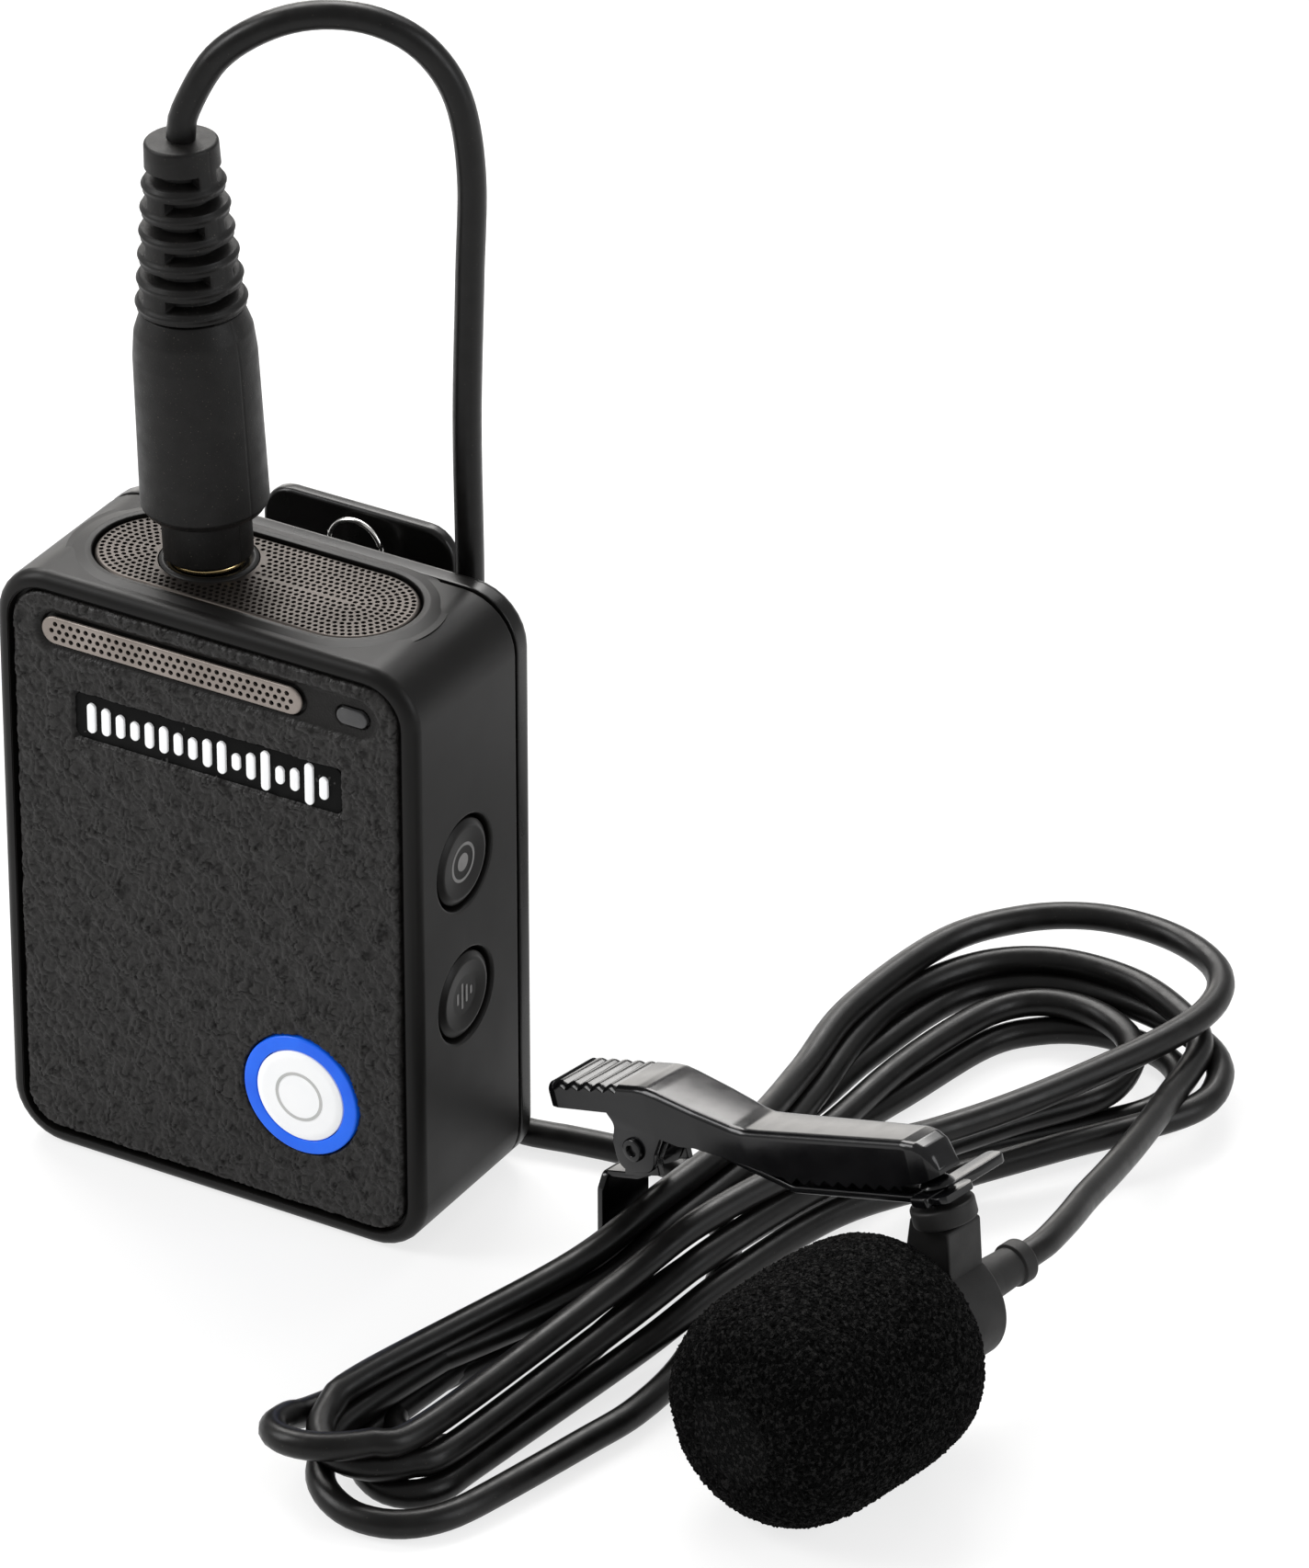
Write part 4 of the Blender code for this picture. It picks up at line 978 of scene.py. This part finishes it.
def badge():
    """A dark strip with a row of plain level bars."""
    low, high = badge_box()
    centre, half = (low + high) / 2, (high - low) / 2
    at = front_frame(centre.x, centre.z)
    piece("badge_strip", prism(rect_loop(-half.x, half.x, -half.z, half.z, 0.7 * MM, 6),
                               -0.5 * MM, -0.28 * MM, at, 0.06 * MM), "strip",
          "transmitter", ("front_badge",))
    bars = bmesh.new()
    count = 17
    for i in range(count):
        x = (i - (count - 1) / 2) * 1.28 * MM
        swing = abs(math.sin(i * 0.9 + 0.6)) * (0.65 + 0.35 * math.cos(i * 2.1))
        tall = (0.6 + 1.15 * swing) * MM
        bar = prism(rect_loop(x - 0.36 * MM, x + 0.36 * MM, -tall, tall, 0.35 * MM, 5),
                    -0.34 * MM, -0.06 * MM, at, 0.06 * MM)
        part = bpy.data.meshes.new("bar")
        bar.to_mesh(part)
        bar.free()
        bars.from_mesh(part)
    piece("level_bars", bars, "white", "transmitter")


# ------------------------------------------------------------------ controls
def power_button():
    at, radius, _ = face_of("power_button")
    reach = radius / MM
    cap = [(0, 0.26, 0), (reach - 0.5, 0.22, 1.5), (reach, 0.10, 0.12), (reach, -1.6, 0),
           (0, -1.6, 0)]
    piece("power_cap", turned(cap, at, 96), "white", "power_button", ("power_button",))
    mark = [(1.82, 0.262, 0), (2.07, 0.262, 0), (2.07, 0.20, 0), (1.82, 0.20, 0)]
    piece("power_mark", turned(mark, at, 96, closed=True), "mark", "power_button")
    at, radius, _ = face_of("power_light_ring")
    outer, inner = radius / MM, reach + 0.08
    light = [(inner, -0.5, 0), (inner, 0.10, 0.06), (outer, 0.08, 0.16), (outer, -0.5, 0)]
    piece("power_light", turned(light, at, 96, closed=True), "blue", "transmitter",
          ("power_light_ring",))


def side_buttons():
    for node in ("rec_button", "noise_cut_button"):
        at, reach = on_side(node)
        dome = [(0, -0.20, 0), (1.6, -0.15, 2), (reach - 0.55, 0.02, 0.5),
                (reach, -0.30, 0.16), (reach, -2.0, 0), (0, -2.0, 0)]
        piece(node.replace("button", "cap"), turned(dome, at, 80), "case", node, (node,),
              smooth=50)
        face = at @ turn(90, "Z")
        if node == "rec_button":
            ring = [(1.35, -0.13, 0), (1.60, -0.13, 0), (1.60, -0.24, 0), (1.35, -0.24, 0)]
            piece("rec_icon_ring", turned(ring, face, 64, closed=True), "dull_mark", node)
            piece("rec_icon_dot", drill(0.72, -0.155, -0.24, face, 48), "dull_mark", node)
            continue
        for i, tall in enumerate((0.5, 1.1, 0.75, 0.35)):
            x = (i - 1.5) * 0.62 * MM
            bar = prism(rect_loop(x - 0.13 * MM, x + 0.13 * MM, -tall * MM, tall * MM,
                                  0.12 * MM, 4), -0.24 * MM, -0.145 * MM, face)
            piece(f"noise_icon_{i + 1}", bar, "dull_mark", node)


# ------------------------------------------------------------------ top grille and jack
def along_pill(s, left, right, middle, radius):
    """The point at a distance s round a stadium of that radius."""
    straight, bend = right - left, math.pi * radius
    if s < straight:
        return left + s, middle - radius
    if s < straight + bend:
        a = (s - straight) / radius - math.pi / 2
        return right + radius * math.cos(a), middle + radius * math.sin(a)
    if s < 2 * straight + bend:
        return right - (s - straight - bend), middle + radius
    a = (s - 2 * straight - bend) / radius + math.pi / 2
    return left + radius * math.cos(a), middle + radius * math.sin(a)


def top():
    low, high, centre = box("top_grille")
    pill = (low.x, high.x, low.y, high.y)
    at = move(0, 0, CASE_H)
    half = (high.y - low.y) / 2
    left, right = low.x + half, high.x - half
    rims = [(0.0, -0.75), (0.0, -0.30)]
    rims += [(0.3 * (1 - math.cos(a)), -0.30 + 0.28 * math.sin(a))
             for a in (math.pi / 2 * k / 5 for k in range(1, 6))]
    levels = [(pill_loop(*pill, -d * MM, 40), z * MM) for d, z in rims]
    pitch, jack_r = 0.54 * MM, 3.85 * MM
    holes = []
    for k in range(int((half - 0.5 * MM) / pitch) + 1):
        radius = half - 0.50 * MM - k * pitch
        around = 2 * (right - left) + 2 * math.pi * radius
        count = round(around / pitch)
        for i in range(count):
            s = around * (i + 0.5 * (k % 2)) / count
            x, y = along_pill(s, left, right, centre.y, radius)
            if math.hypot(x - JACK.x, y - JACK.y) > jack_r + 0.28 * MM:
                holes.append(circle(x, y, 0.20 * MM, 8, 0.4))
    opening = circle(JACK.x, JACK.y, jack_r, 64)
    piece("grille_mesh", perforated(levels, holes, 0.22 * MM, at, opening), "grille",
          "transmitter", ("top_grille",), smooth=40)
    # A near-black sheet under the grille holes: painted shade for the dark inside the case.
    cloth = prism(pill_loop(*pill, -0.3 * MM), -0.75 * MM, -0.45 * MM, at)
    piece("grille_backing", shape_from(cloth, [drill(3.9, 1, -2, JACK_FRAME, 48)]), "void",
          "transmitter")
    lip = rounded([(0.20, -1.2, 0), (0.20, 0.10, 0.14), (0.70, 0.17, 0.5), (1.7, -0.05, 1.1),
                   (2.2, -0.10, 0), (2.2, -0.4, 0), (0.5, -1.2, 0)], 4)
    rings = [[Vector((x, y, CASE_H + z * MM)) for x, y in pill_loop(*pill, grow * MM, 32)]
             for grow, z in lip]
    piece("grille_lip", stack(rings, closed=True), "case", "transmitter",
          smooth=50)
    collar = [(2.2, -0.9, 0), (2.75, -0.35, 0.1), (2.95, -0.05, 0.15), (3.45, 0.20, 0.25),
              (3.8, -0.02, 0.2), (3.8, -1.3, 0), (2.2, -1.3, 0)]
    piece("jack_collar", turned(collar, JACK_FRAME, 72, closed=True), "case", "transmitter",
          smooth=50)


# ------------------------------------------------------------------ belt clip
def bent_plate(outline, thick, half, corner, edge):
    """A flat plate with rounded rims, bent along an outline in the YZ plane."""
    track = catmull([(0, y * MM, z * MM) for y, z in outline], 0.25 * MM)
    last, step = len(track) - 1, (track[1] - track[0]).length
    total = step * last
    rims = [(d, -thick + drop) for d, drop in quarter(edge, 4)[::-1]]
    rims += [(d, -drop) for d, drop in quarter(edge, 4)]
    bm = stack([[Vector((*p, w)) for p in rect_loop(-half + d, half - d, d, total - d,
                                                   corner - d, 6)] for d, w in rims])
    cuts = int(total / (0.8 * MM))
    for i in range(1, cuts):
        bmesh.ops.bisect_plane(bm, geom=bm.verts[:] + bm.edges[:] + bm.faces[:],
                               plane_co=(0, total * i / cuts, 0), plane_no=(0, 1, 0),
                               dist=1e-7)
    for v in bm.verts:
        place = min(max(v.co.y / step, 0), last - 1e-6)
        k = int(place)
        ahead = track[min(k + 2, last)] - track[max(k - 1, 0)]
        out = Vector((0, ahead.z, -ahead.y)).normalized()
        point = track[k].lerp(track[k + 1], place - k)
        v.co = Vector((v.co.x, point.y, point.z)) + out * v.co.z
    return faces_out(bm)


def belt_clip():
    _, high, _ = box("belt_clip")
    outline = [(10.9, 4.6), (10.45, 9), (10.5, 14), (10.9, 22), (12.4, 29), (14.2, 36),
               (14.9, 41), (14.9, high.z / MM)]
    plate = bent_plate(outline, 1.25 * MM, high.x, 2.6 * MM, 0.4 * MM)
    pin = box("belt_clip_pin")[2]
    lug = [(-1.7, -1.6, 1.3), (1.7, -1.6, 1.3), (1.7, 2.6, 0), (-1.7, 2.2, 0)]
    joins = [slab(lug, -0.6, 0.6, lug_frame(x * MM, pin, 1), 0.12) for x in (-7.2, 7.2)]
    piece("belt_clip_plate", shape_from(plate, joins=joins), "cover", "belt_clip",
          ("belt_clip",), smooth=32, weigh=True)


def winding(turns, radius, start, length):
    """Points (along, sine, cosine) of a wire wound round its axis."""
    steps = 20                           # to a turn
    count = turns * steps
    angles = [2 * math.pi * i / steps for i in range(count + 1)]
    return [(start + length * i / count, radius * math.sin(a), radius * math.cos(a))
            for i, a in enumerate(angles)]


def belt_fittings():
    """The pin, two coils of wire on it and the bow between them, which presses on the clip."""
    pin = box("belt_clip_pin")[2] / MM
    left = [(x, pin.y + s, pin.z + c) for x, s, c in winding(3, 1.25, -4.2, 1.9)]
    bow = [(0.6 + 2.3 * math.cos(a), 12.4, 46.7 + 2.3 * math.sin(a))
           for a in (math.pi * (1 - i / 14) for i in range(15))]
    right = [(-x, y, z) for x, y, z in reversed(left)]
    wire = catmull(in_mm(left + bow + right), 0.3 * MM)
    spring = piece("belt_spring", tube(wire, 0.21 * MM, 10), "steel", None,
                   ("belt_clip_spring",), smooth=60)
    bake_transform(spring)
    axle = [(0, 8.3, 0), (0.75, 8.3, 0.2), (0.75, -8.3, 0.2), (0, -8.3, 0)]
    piece("belt_axle", turned(axle, Matrix.Translation(pin * MM) @ turn(90, "Y"), 32), "steel",
          "transmitter", ("belt_clip_pin",))


# ------------------------------------------------------------------ plug
WEB_ANGLE = math.radians(-14)        # where the boot's first pair of webs stands
BOOT_LEVELS = 6


def boot_shape(angle, z):
    """The boot's side slots: two to a level, a quarter turn on from level to level."""
    top_edge, low_edge = 32.5 * MM, 21.1 * MM
    pitch = (top_edge - low_edge) / BOOT_LEVELS
    if not low_edge - 0.2 * MM < z < top_edge:
        return 0.0
    level, place = divmod((top_edge - z) / pitch, 1.0)
    web = WEB_ANGLE + (math.pi / 2 if int(level) % 2 else 0)
    away = abs(math.sin(angle - web))            # 0 on a web, 1 between the webs
    slot = ease((away - 0.30) / 0.07)
    across = ease(place / 0.11) * (1 - ease((place - 0.40) / 0.12))
    swell = 0.18 * MM * math.sin(math.pi * ease((place - 0.42) / 0.58)) ** 2
    return swell - 1.15 * MM * slot * across


def seam_line(angle, z):
    """A fine parting line down both sides of the moulding."""
    away = math.sin(angle - WEB_ANGLE - 0.05)
    return -0.045 * MM * math.exp(-(away / 0.018) ** 2)


def plug():
    barrel = [(0, 20.9, 0), (3.85, 20.9, 0.2), (4.45, 19.2, 1.6), (4.65, 17.2, 3.0),
              (4.85, 5.0, 0.45), (4.45, 4.40, 0.2), (3.4, 4.35, 0.12), (3.4, 0.5, 0.3),
              (0, 0.4, 0)]
    piece("plug_grip", turned(barrel, PLUG, 360, arc=7, shape=seam_line), "rubber", "plug",
          ("plug_barrel",), smooth=40)
    boot = rounded([(0, 34.5, 0), (2.78, 34.5, 0.3), (2.84, 32.7, 0.1)], 6)
    boot += [(2.84 + (32.6 - z) * 0.108, z) for z in np.linspace(32.6, 21.15, 151)[1:]]
    boot += [(3.9, 20.95), (0, 20.95)]
    piece("plug_relief", lathe(in_mm(boot), PLUG, 180,
                               shape=lambda a, z: boot_shape(a, z) + seam_line(a, z)),
          "rubber", "plug", ("plug_boot",), smooth=50)
    ring = [(0, 0.34, 0), (2.9, 0.34, 0.1), (2.9, 0.02, 0.1), (0, 0.02, 0)]
    piece("plug_gold_ring", turned(ring, PLUG, 64), "gold", "plug", ("plug_contact_ring",))
    pins = {
        "sleeve": [(0, -0.35, 0), (1.75, -0.35, 0), (1.75, -7.4, 0.1), (0, -7.4, 0)],
        "ring": [(0, -8.4, 0), (1.75, -8.4, 0.1), (1.75, -10.4, 0.1), (0, -10.4, 0)],
        "insulator_upper": [(0, -7.45, 0), (1.7, -7.45, 0), (1.7, -8.35, 0), (0, -8.35, 0)],
        "insulator_lower": [(0, -10.45, 0), (1.7, -10.45, 0), (1.7, -11.35, 0), (0, -11.35, 0)],
        "tip": [(0, -11.4, 0), (1.6, -11.4, 0.1), (1.2, -12.4, 0.5), (1.72, -13.2, 0.4),
                (0.5, -14.4, 0.4), (0, -14.4, 0)],
    }
    for name, corners in pins.items():
        finish, slot = ("void", "plug_rubber") if "insulator" in name else ("gold", "gold_metal")
        piece(f"pin_{name}", turned(corners, JACK_FRAME, 48), finish, "plug",
              (f"plug_{name}",))


# ------------------------------------------------------------------ microphone
def on_axis(offset=0.0):
    """Local Z runs along the microphone's axis, towards the strain relief."""
    return MIC @ move(0, offset, 0) @ turn(-90, "X")


def windscreen():
    """Open-cell foam: a rounded barrel whose skin is broken by small pores."""
    low, high, _ = box("foam_windscreen")
    radius = (high.z - low.z) / 2
    half_length, bore = 10.55 * MM, 3.55 * MM
    power = 2 / 3.6                              # of a superellipse
    rows, steps = 190, 400
    outside = []
    for i in range(rows + 1):
        a = math.pi / 2 - math.pi * i / rows
        outside.append((abs(math.cos(a)) ** power * radius,
                        math.copysign(abs(math.sin(a)) ** power, math.sin(a)) * half_length))
    first = next(i for i, (r, _) in enumerate(outside) if r > bore + 0.15 * MM)
    # even spacing along the skin, so that the pores have one size
    skin = [tuple(p) for p in even_steps(outside[first:-1], rows)]
    mouth = [(bore, half_length - 1.6 * MM), (bore, half_length - 0.3 * MM)]
    floor = [(0, -half_length), (0, -6.4 * MM), (bore, -6.4 * MM)]
    bm = lathe(mouth + skin + floor, None, steps, closed=True)
    for v in bm.verts:
        if math.hypot(v.co.x, v.co.y) < bore + 0.01 * MM:
            continue
        p = v.co / MM
        pores = -abs(noise.noise(p * 1.9)) * 1.1 + noise.noise(p * 4.6) * 0.7
        lump = noise.noise(p * 0.35)
        out = Vector((v.co.x / radius, v.co.y / radius, v.co.z / half_length)).normalized()
        v.co += out * (0.27 * pores + 0.10 * lump - 0.02) * MM
    bmesh.ops.transform(bm, matrix=on_axis(), verts=bm.verts)
    for v in bm.verts:
        v.co.z = max(v.co.z, 0.02 * MM)
    foam = piece("windscreen", faces_out(bm), "foam", "windscreen", ("foam_windscreen",),
                 smooth=180)


def microphone():
    can = [(1.0, 14.4, 0), (3.5, 14.4, 0.3), (3.5, -4.3, 0.15), (2.9, -4.3, 0),
           (2.9, 13.2, 0), (1.0, 13.2, 0)]
    piece("mic_can", turned(can, on_axis(), 72, closed=True), "grey", "transmitter",
          ("mic_body",))
    rim = circle(0, 0, 3.5 * MM, 64)
    levels = [(rim, -0.3 * MM), (rim, -0.1 * MM), (circle(0, 0, 3.4 * MM, 64), 0.0)]
    holes = []
    for i in range(-8, 9):
        for j in range(-8, 9):
            x, y = (i + 0.5 * (j % 2)) * 0.6 * MM, j * 0.52 * MM
            if math.hypot(x, y) < 2.9 * MM:
                holes.append(circle(x, y, 0.19 * MM, 8))
    piece("mic_mesh", perforated(levels, holes, 0.5 * MM, on_axis(-5.4 * MM) @ turn(180, "X")),
          "grille", "transmitter", ("mic_front_mesh",), smooth=40)
    relief = [(0, 21.8, 0), (1.72, 21.8, 0.22), (1.72, 20.55, 0.15), (1.5, 20.4, 0.1),
              (1.62, 18.0, 1.0), (2.05, 15.2, 0.5), (2.05, 14.45, 0), (0, 14.45, 0)]
    piece("mic_tail", turned(relief, on_axis(), 64, arc=6), "grey", "transmitter",
          ("mic_strain_relief",), smooth=45)


def holder():
    ring = [(3.6, 14.9, 0), (4.55, 14.9, 0.3), (4.55, 10.9, 0.3), (3.6, 10.9, 0)]
    band = turned(ring, on_axis(), 96, closed=True)
    arm = slab([(-2.3, -3.9, 0), (-1.8, -8.0, 0.3), (1.9, -8.0, 0.3), (2.2, -3.9, 0)],
               -1.9, 1.9, on_axis(12.9 * MM), 0.25)
    rivet = CLIP @ move(RIVET_P, 0, 0)
    tab = turned([(0, -3.4, 0), (2.45, -3.4, 0.25), (2.45, -4.9, 0.25), (0, -4.9, 0)], rivet)
    piece("mic_clamp", shape_from(band, [drill(0.95, -2, -4.3, rivet)], [arm, tab]), "grey",
          "holder", ("mic_holder",), smooth=35, weigh=True)


# ------------------------------------------------------------------ tie clip
def follow(table, p):
    """Read a list of (p, value) by straight interpolation."""
    return float(np.interp(p, [row[0] for row in table], [row[1] for row in table]))


# The upper jaw from its thumb pad to its nose, all in millimetres along and off the clip's X:
# the height of its crown, the height of its underside, and half its width.
PAD_END, NOSE_END = -8.1, 29.9
TOP_LINE = [(-8.1, 4.35), (-7.8, 4.8), (-7.2, 5.02), (1.6, 5.05), (2.6, 4.95), (3.6, 4.65),
            (10.2, 2.25), (11.3, 1.98), (12.4, 1.95), (27.2, 1.95), (28.3, 1.75), (29.0, 1.35),
            (29.5, 0.7), (29.9, -0.3)]
UNDER_LINE = [(-8.1, 3.4), (-7.6, 3.0), (-1.0, 2.85), (0.5, 2.2), (2.5, 1.2), (4.8, 0.5),
              (6.4, 0.45), (9.6, -0.35), (13.4, -1.45), (14.2, -1.55), (26.6, -1.55),
              (28.6, -1.25), (29.9, -0.8)]
HALF_LINE = [(-8.1, 2.1), (-7.7, 2.5), (-7.0, 2.65), (2.5, 2.65), (7.0, 2.5), (11.3, 2.15),
             (27.6, 1.8), (29.0, 1.55), (29.9, 1.1)]


def ridges(p):
    """Five soft ridges across the thumb pad."""
    if not -7.1 < p < -0.4:
        return 0.0
    return 0.26 * abs(math.sin(math.pi * (p + 7.1) / 1.34)) ** 1.1 - 0.23


def teeth(p):
    if not 14.5 < p < 26.4:
        return 0.0
    return -0.5 * (1 - abs(((p - 14.5) / 1.4) % 1.0 - 0.5) * 2)


def jaw_section(p):
    """A U-shaped section of the upper jaw, closed, as points of (s, q) in millimetres."""
    crown, under = follow(TOP_LINE, p), follow(UNDER_LINE, p) + teeth(p)
    half, sheet, groove = follow(HALF_LINE, p), 0.55, ridges(p)
    solid = p < PAD_END + 0.7 or p > NOSE_END - 0.8
    under = min(under, crown - 0.35)
    ceiling = under + 0.02 if solid else max(crown - sheet + min(groove, 0), under + 0.02)
    edge = min(0.62, (crown - under) * 0.45)
    corner = [(half - d, crown - drop) for d, drop in quarter(edge, 6)]
    if groove:
        corner = [(s, q + groove * ease((q - (crown - edge)) / edge * 1.4)) for s, q in corner]
    inside, waist = half - sheet, (under + crown - edge) / 2
    return ([(-half, under), (-half, waist)] + [(-s, q) for s, q in corner] + corner[::-1]
            + [(half, waist), (half, under), (inside, under), (inside, ceiling), (0, ceiling),
               (-inside, ceiling), (-inside, under)])


def clip_plate(outline, middle, thick, edge=0.12):
    """A flat cheek in the clip's side view."""
    return slab(outline, -thick / 2, thick / 2, CLIP @ move(0, middle * MM, 0) @ turn(90, "X"),
                edge)


def swept(section, stations):
    return stack([[CLIP @ (Vector((p, s, q)) * MM) for s, q in section(p)] for p in stations])


def upper_jaw():
    stations = np.concatenate([np.linspace(PAD_END, -0.3, 110), np.linspace(-0.1, 14.4, 60),
                               np.linspace(14.5, 26.4, 104), np.linspace(26.6, NOSE_END, 40)])
    cheek = [(-2.4, 3.4, 0), (-1.5, 1.9, 0.8), (-2.1, 0.6, 0.8), (-2.2, -1.9, 1.2),
             (1.4, -1.9, 1.2), (2.0, -0.4, 0.7), (3.0, 0.9, 0.8), (3.9, 1.3, 0), (2.4, 3.4, 0)]
    joins = [clip_plate(cheek, middle, 0.52, 0.08) for middle in (-2.32, 2.32)]
    jaw = shape_from(swept(jaw_section, stations), [drill(0.8, 4, -4, PIN_FRAME)], joins)
    piece("clip_top", jaw, "gloss", "upper_jaw", ("clip_upper_jaw",), smooth=38)


# The height of the lower jaw's strip along the clip's X, in millimetres.
WEB_LINE = [(-4.4, -2.6), (-1.2, -2.6), (0.2, -2.2), (1.5, -0.7), (2.5, 0.55), (4.8, 0.8),
            (6.4, 0.5), (9.6, -0.7), (13.4, -2.0), (15.0, -2.6), (30.3, -2.6)]


def web_section(p):
    """A flat strip's section, rounded along its edges, as points of (s, q)."""
    middle, half, thick, edge = follow(WEB_LINE, p), 1.85, 0.28, 0.12
    half -= 0.45 * max(0.0, 1 - (30.3 - p) / 0.6) ** 2
    loop = rounded_loop([(-half, -thick, edge), (half, -thick, edge), (half, thick, edge),
                         (-half, thick, edge)], 3)
    return [(x, middle + q) for x, q in loop]


def lower_jaw():
    stations = np.concatenate([np.linspace(-4.4, 16.0, 60), np.linspace(16.6, 29.6, 14),
                               np.linspace(29.7, 30.3, 7)])
    window = prism(rect_loop(-1.8 * MM, 9.5 * MM, -1.2 * MM, 1.2 * MM, 0.5 * MM, 4), -4 * MM,
                   2 * MM, CLIP)
    lug = [(-2.6, -2.6, 0), (-1.4, 0.5, 0.6), (0.0, 1.2, 0.8), (1.4, 0.5, 0.6), (1.2, -2.4, 0)]
    foot = MIC_CENTRE.z / MM - 0.35
    leg = slab([(0.3, -2.0, 0.6), (1.6, -2.6, 0.9), (foot, -2.6, 0.9), (foot, 2.6, 0.9),
                (1.6, 2.6, 0.9), (0.3, 2.0, 0.6)], -0.3, 0.3,
               MIC @ move(-31.3 * MM, 12.6 * MM, 0) @ turn(90, "Y"), 0.12)
    bar = slab([(27.4, -2.4, 0.3), (29.1, -2.4, 0.3), (29.1, 6.6, 0.6), (27.4, 6.6, 0.6)],
               -3.0, -2.2, CLIP, 0.15)
    joins = [clip_plate(lug, middle, 0.55, 0.08) for middle in (-1.6, 1.6)] + [leg, bar]
    cuts = [drill(0.8, 4, -4, PIN_FRAME), drill(0.95, 0, -4, CLIP @ move(RIVET_P, 0, 0)), window]
    piece("clip_base", shape_from(swept(web_section, stations), cuts, joins), "gloss",
          "lower_jaw", ("clip_lower_jaw",), smooth=38)


def clip_fittings():
    half = [(0, 2.66, 0), (0.36, 2.66, 0), (0.48, 2.98, 0.08), (0.92, 2.92, 0.14),
            (0.95, 2.64, 0), (0.65, 2.62, 0)]
    pin = half + [(r, -z, arc) for r, z, arc in reversed(half)]
    piece("clip_hinge_pin", turned(pin, PIN_FRAME, 48), "gloss", "lower_jaw", ("clip_pin",))
    rivet = [(0, -1.4, 0), (1.0, -1.55, 0.4), (1.4, -2.05, 0.05), (0.65, -2.05, 0),
             (0.65, -4.0, 0), (0, -4.0, 0)]
    piece("clip_hinge_rivet", turned(rivet, CLIP @ move(RIVET_P, 0, 0), 48), "gloss",
          "lower_jaw", ("clip_rivet",))
    loops = [(s, y, c) for y, s, c in winding(2, 1.1, -0.6, 1.2)]
    run = [(-4.6, -0.6, 2.6)] + loops + [(-3.4, 0.6, -1.2)]
    wire = catmull([CLIP @ Vector(p) for p in in_mm(run)], 0.25 * MM)
    spring = piece("clip_coil", tube(wire, 0.2 * MM, 10), "dark_wire", None, ("clip_spring",),
                   smooth=60)
    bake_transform(spring)


# ------------------------------------------------------------------ pieces kept from the frame
def inner_pieces():
    kept = {"circuit_board": "board", "battery_cell": "cell", "radio_antenna": "white",
            "ambient_microphone": "steel", "power_switch": "steel", "rec_switch": "steel",
            "noise_cut_switch": "steel", "charging_port": "steel", "mic_capsule": "steel",
            "jack_socket": "gloss"}
    for node, finish in kept.items():
        mesh = frame["nodes"][node].data
        mesh.materials.clear()
        mesh.materials.append(FINISH[finish])


FINISH = materials()
camera()
CORD, CORD_LINE, CORD_LENGTH = cord()
stage()
front_shell()
rear_shell()
screws()
leather()
slot_grille()
status_lens()
badge()
power_button()
side_buttons()
top()
belt_clip()
belt_fittings()
plug()
windscreen()
microphone()
holder()
upper_jaw()
lower_jaw()
clip_fittings()
inner_pieces()

print("cord length", round(CORD_LENGTH, 4))
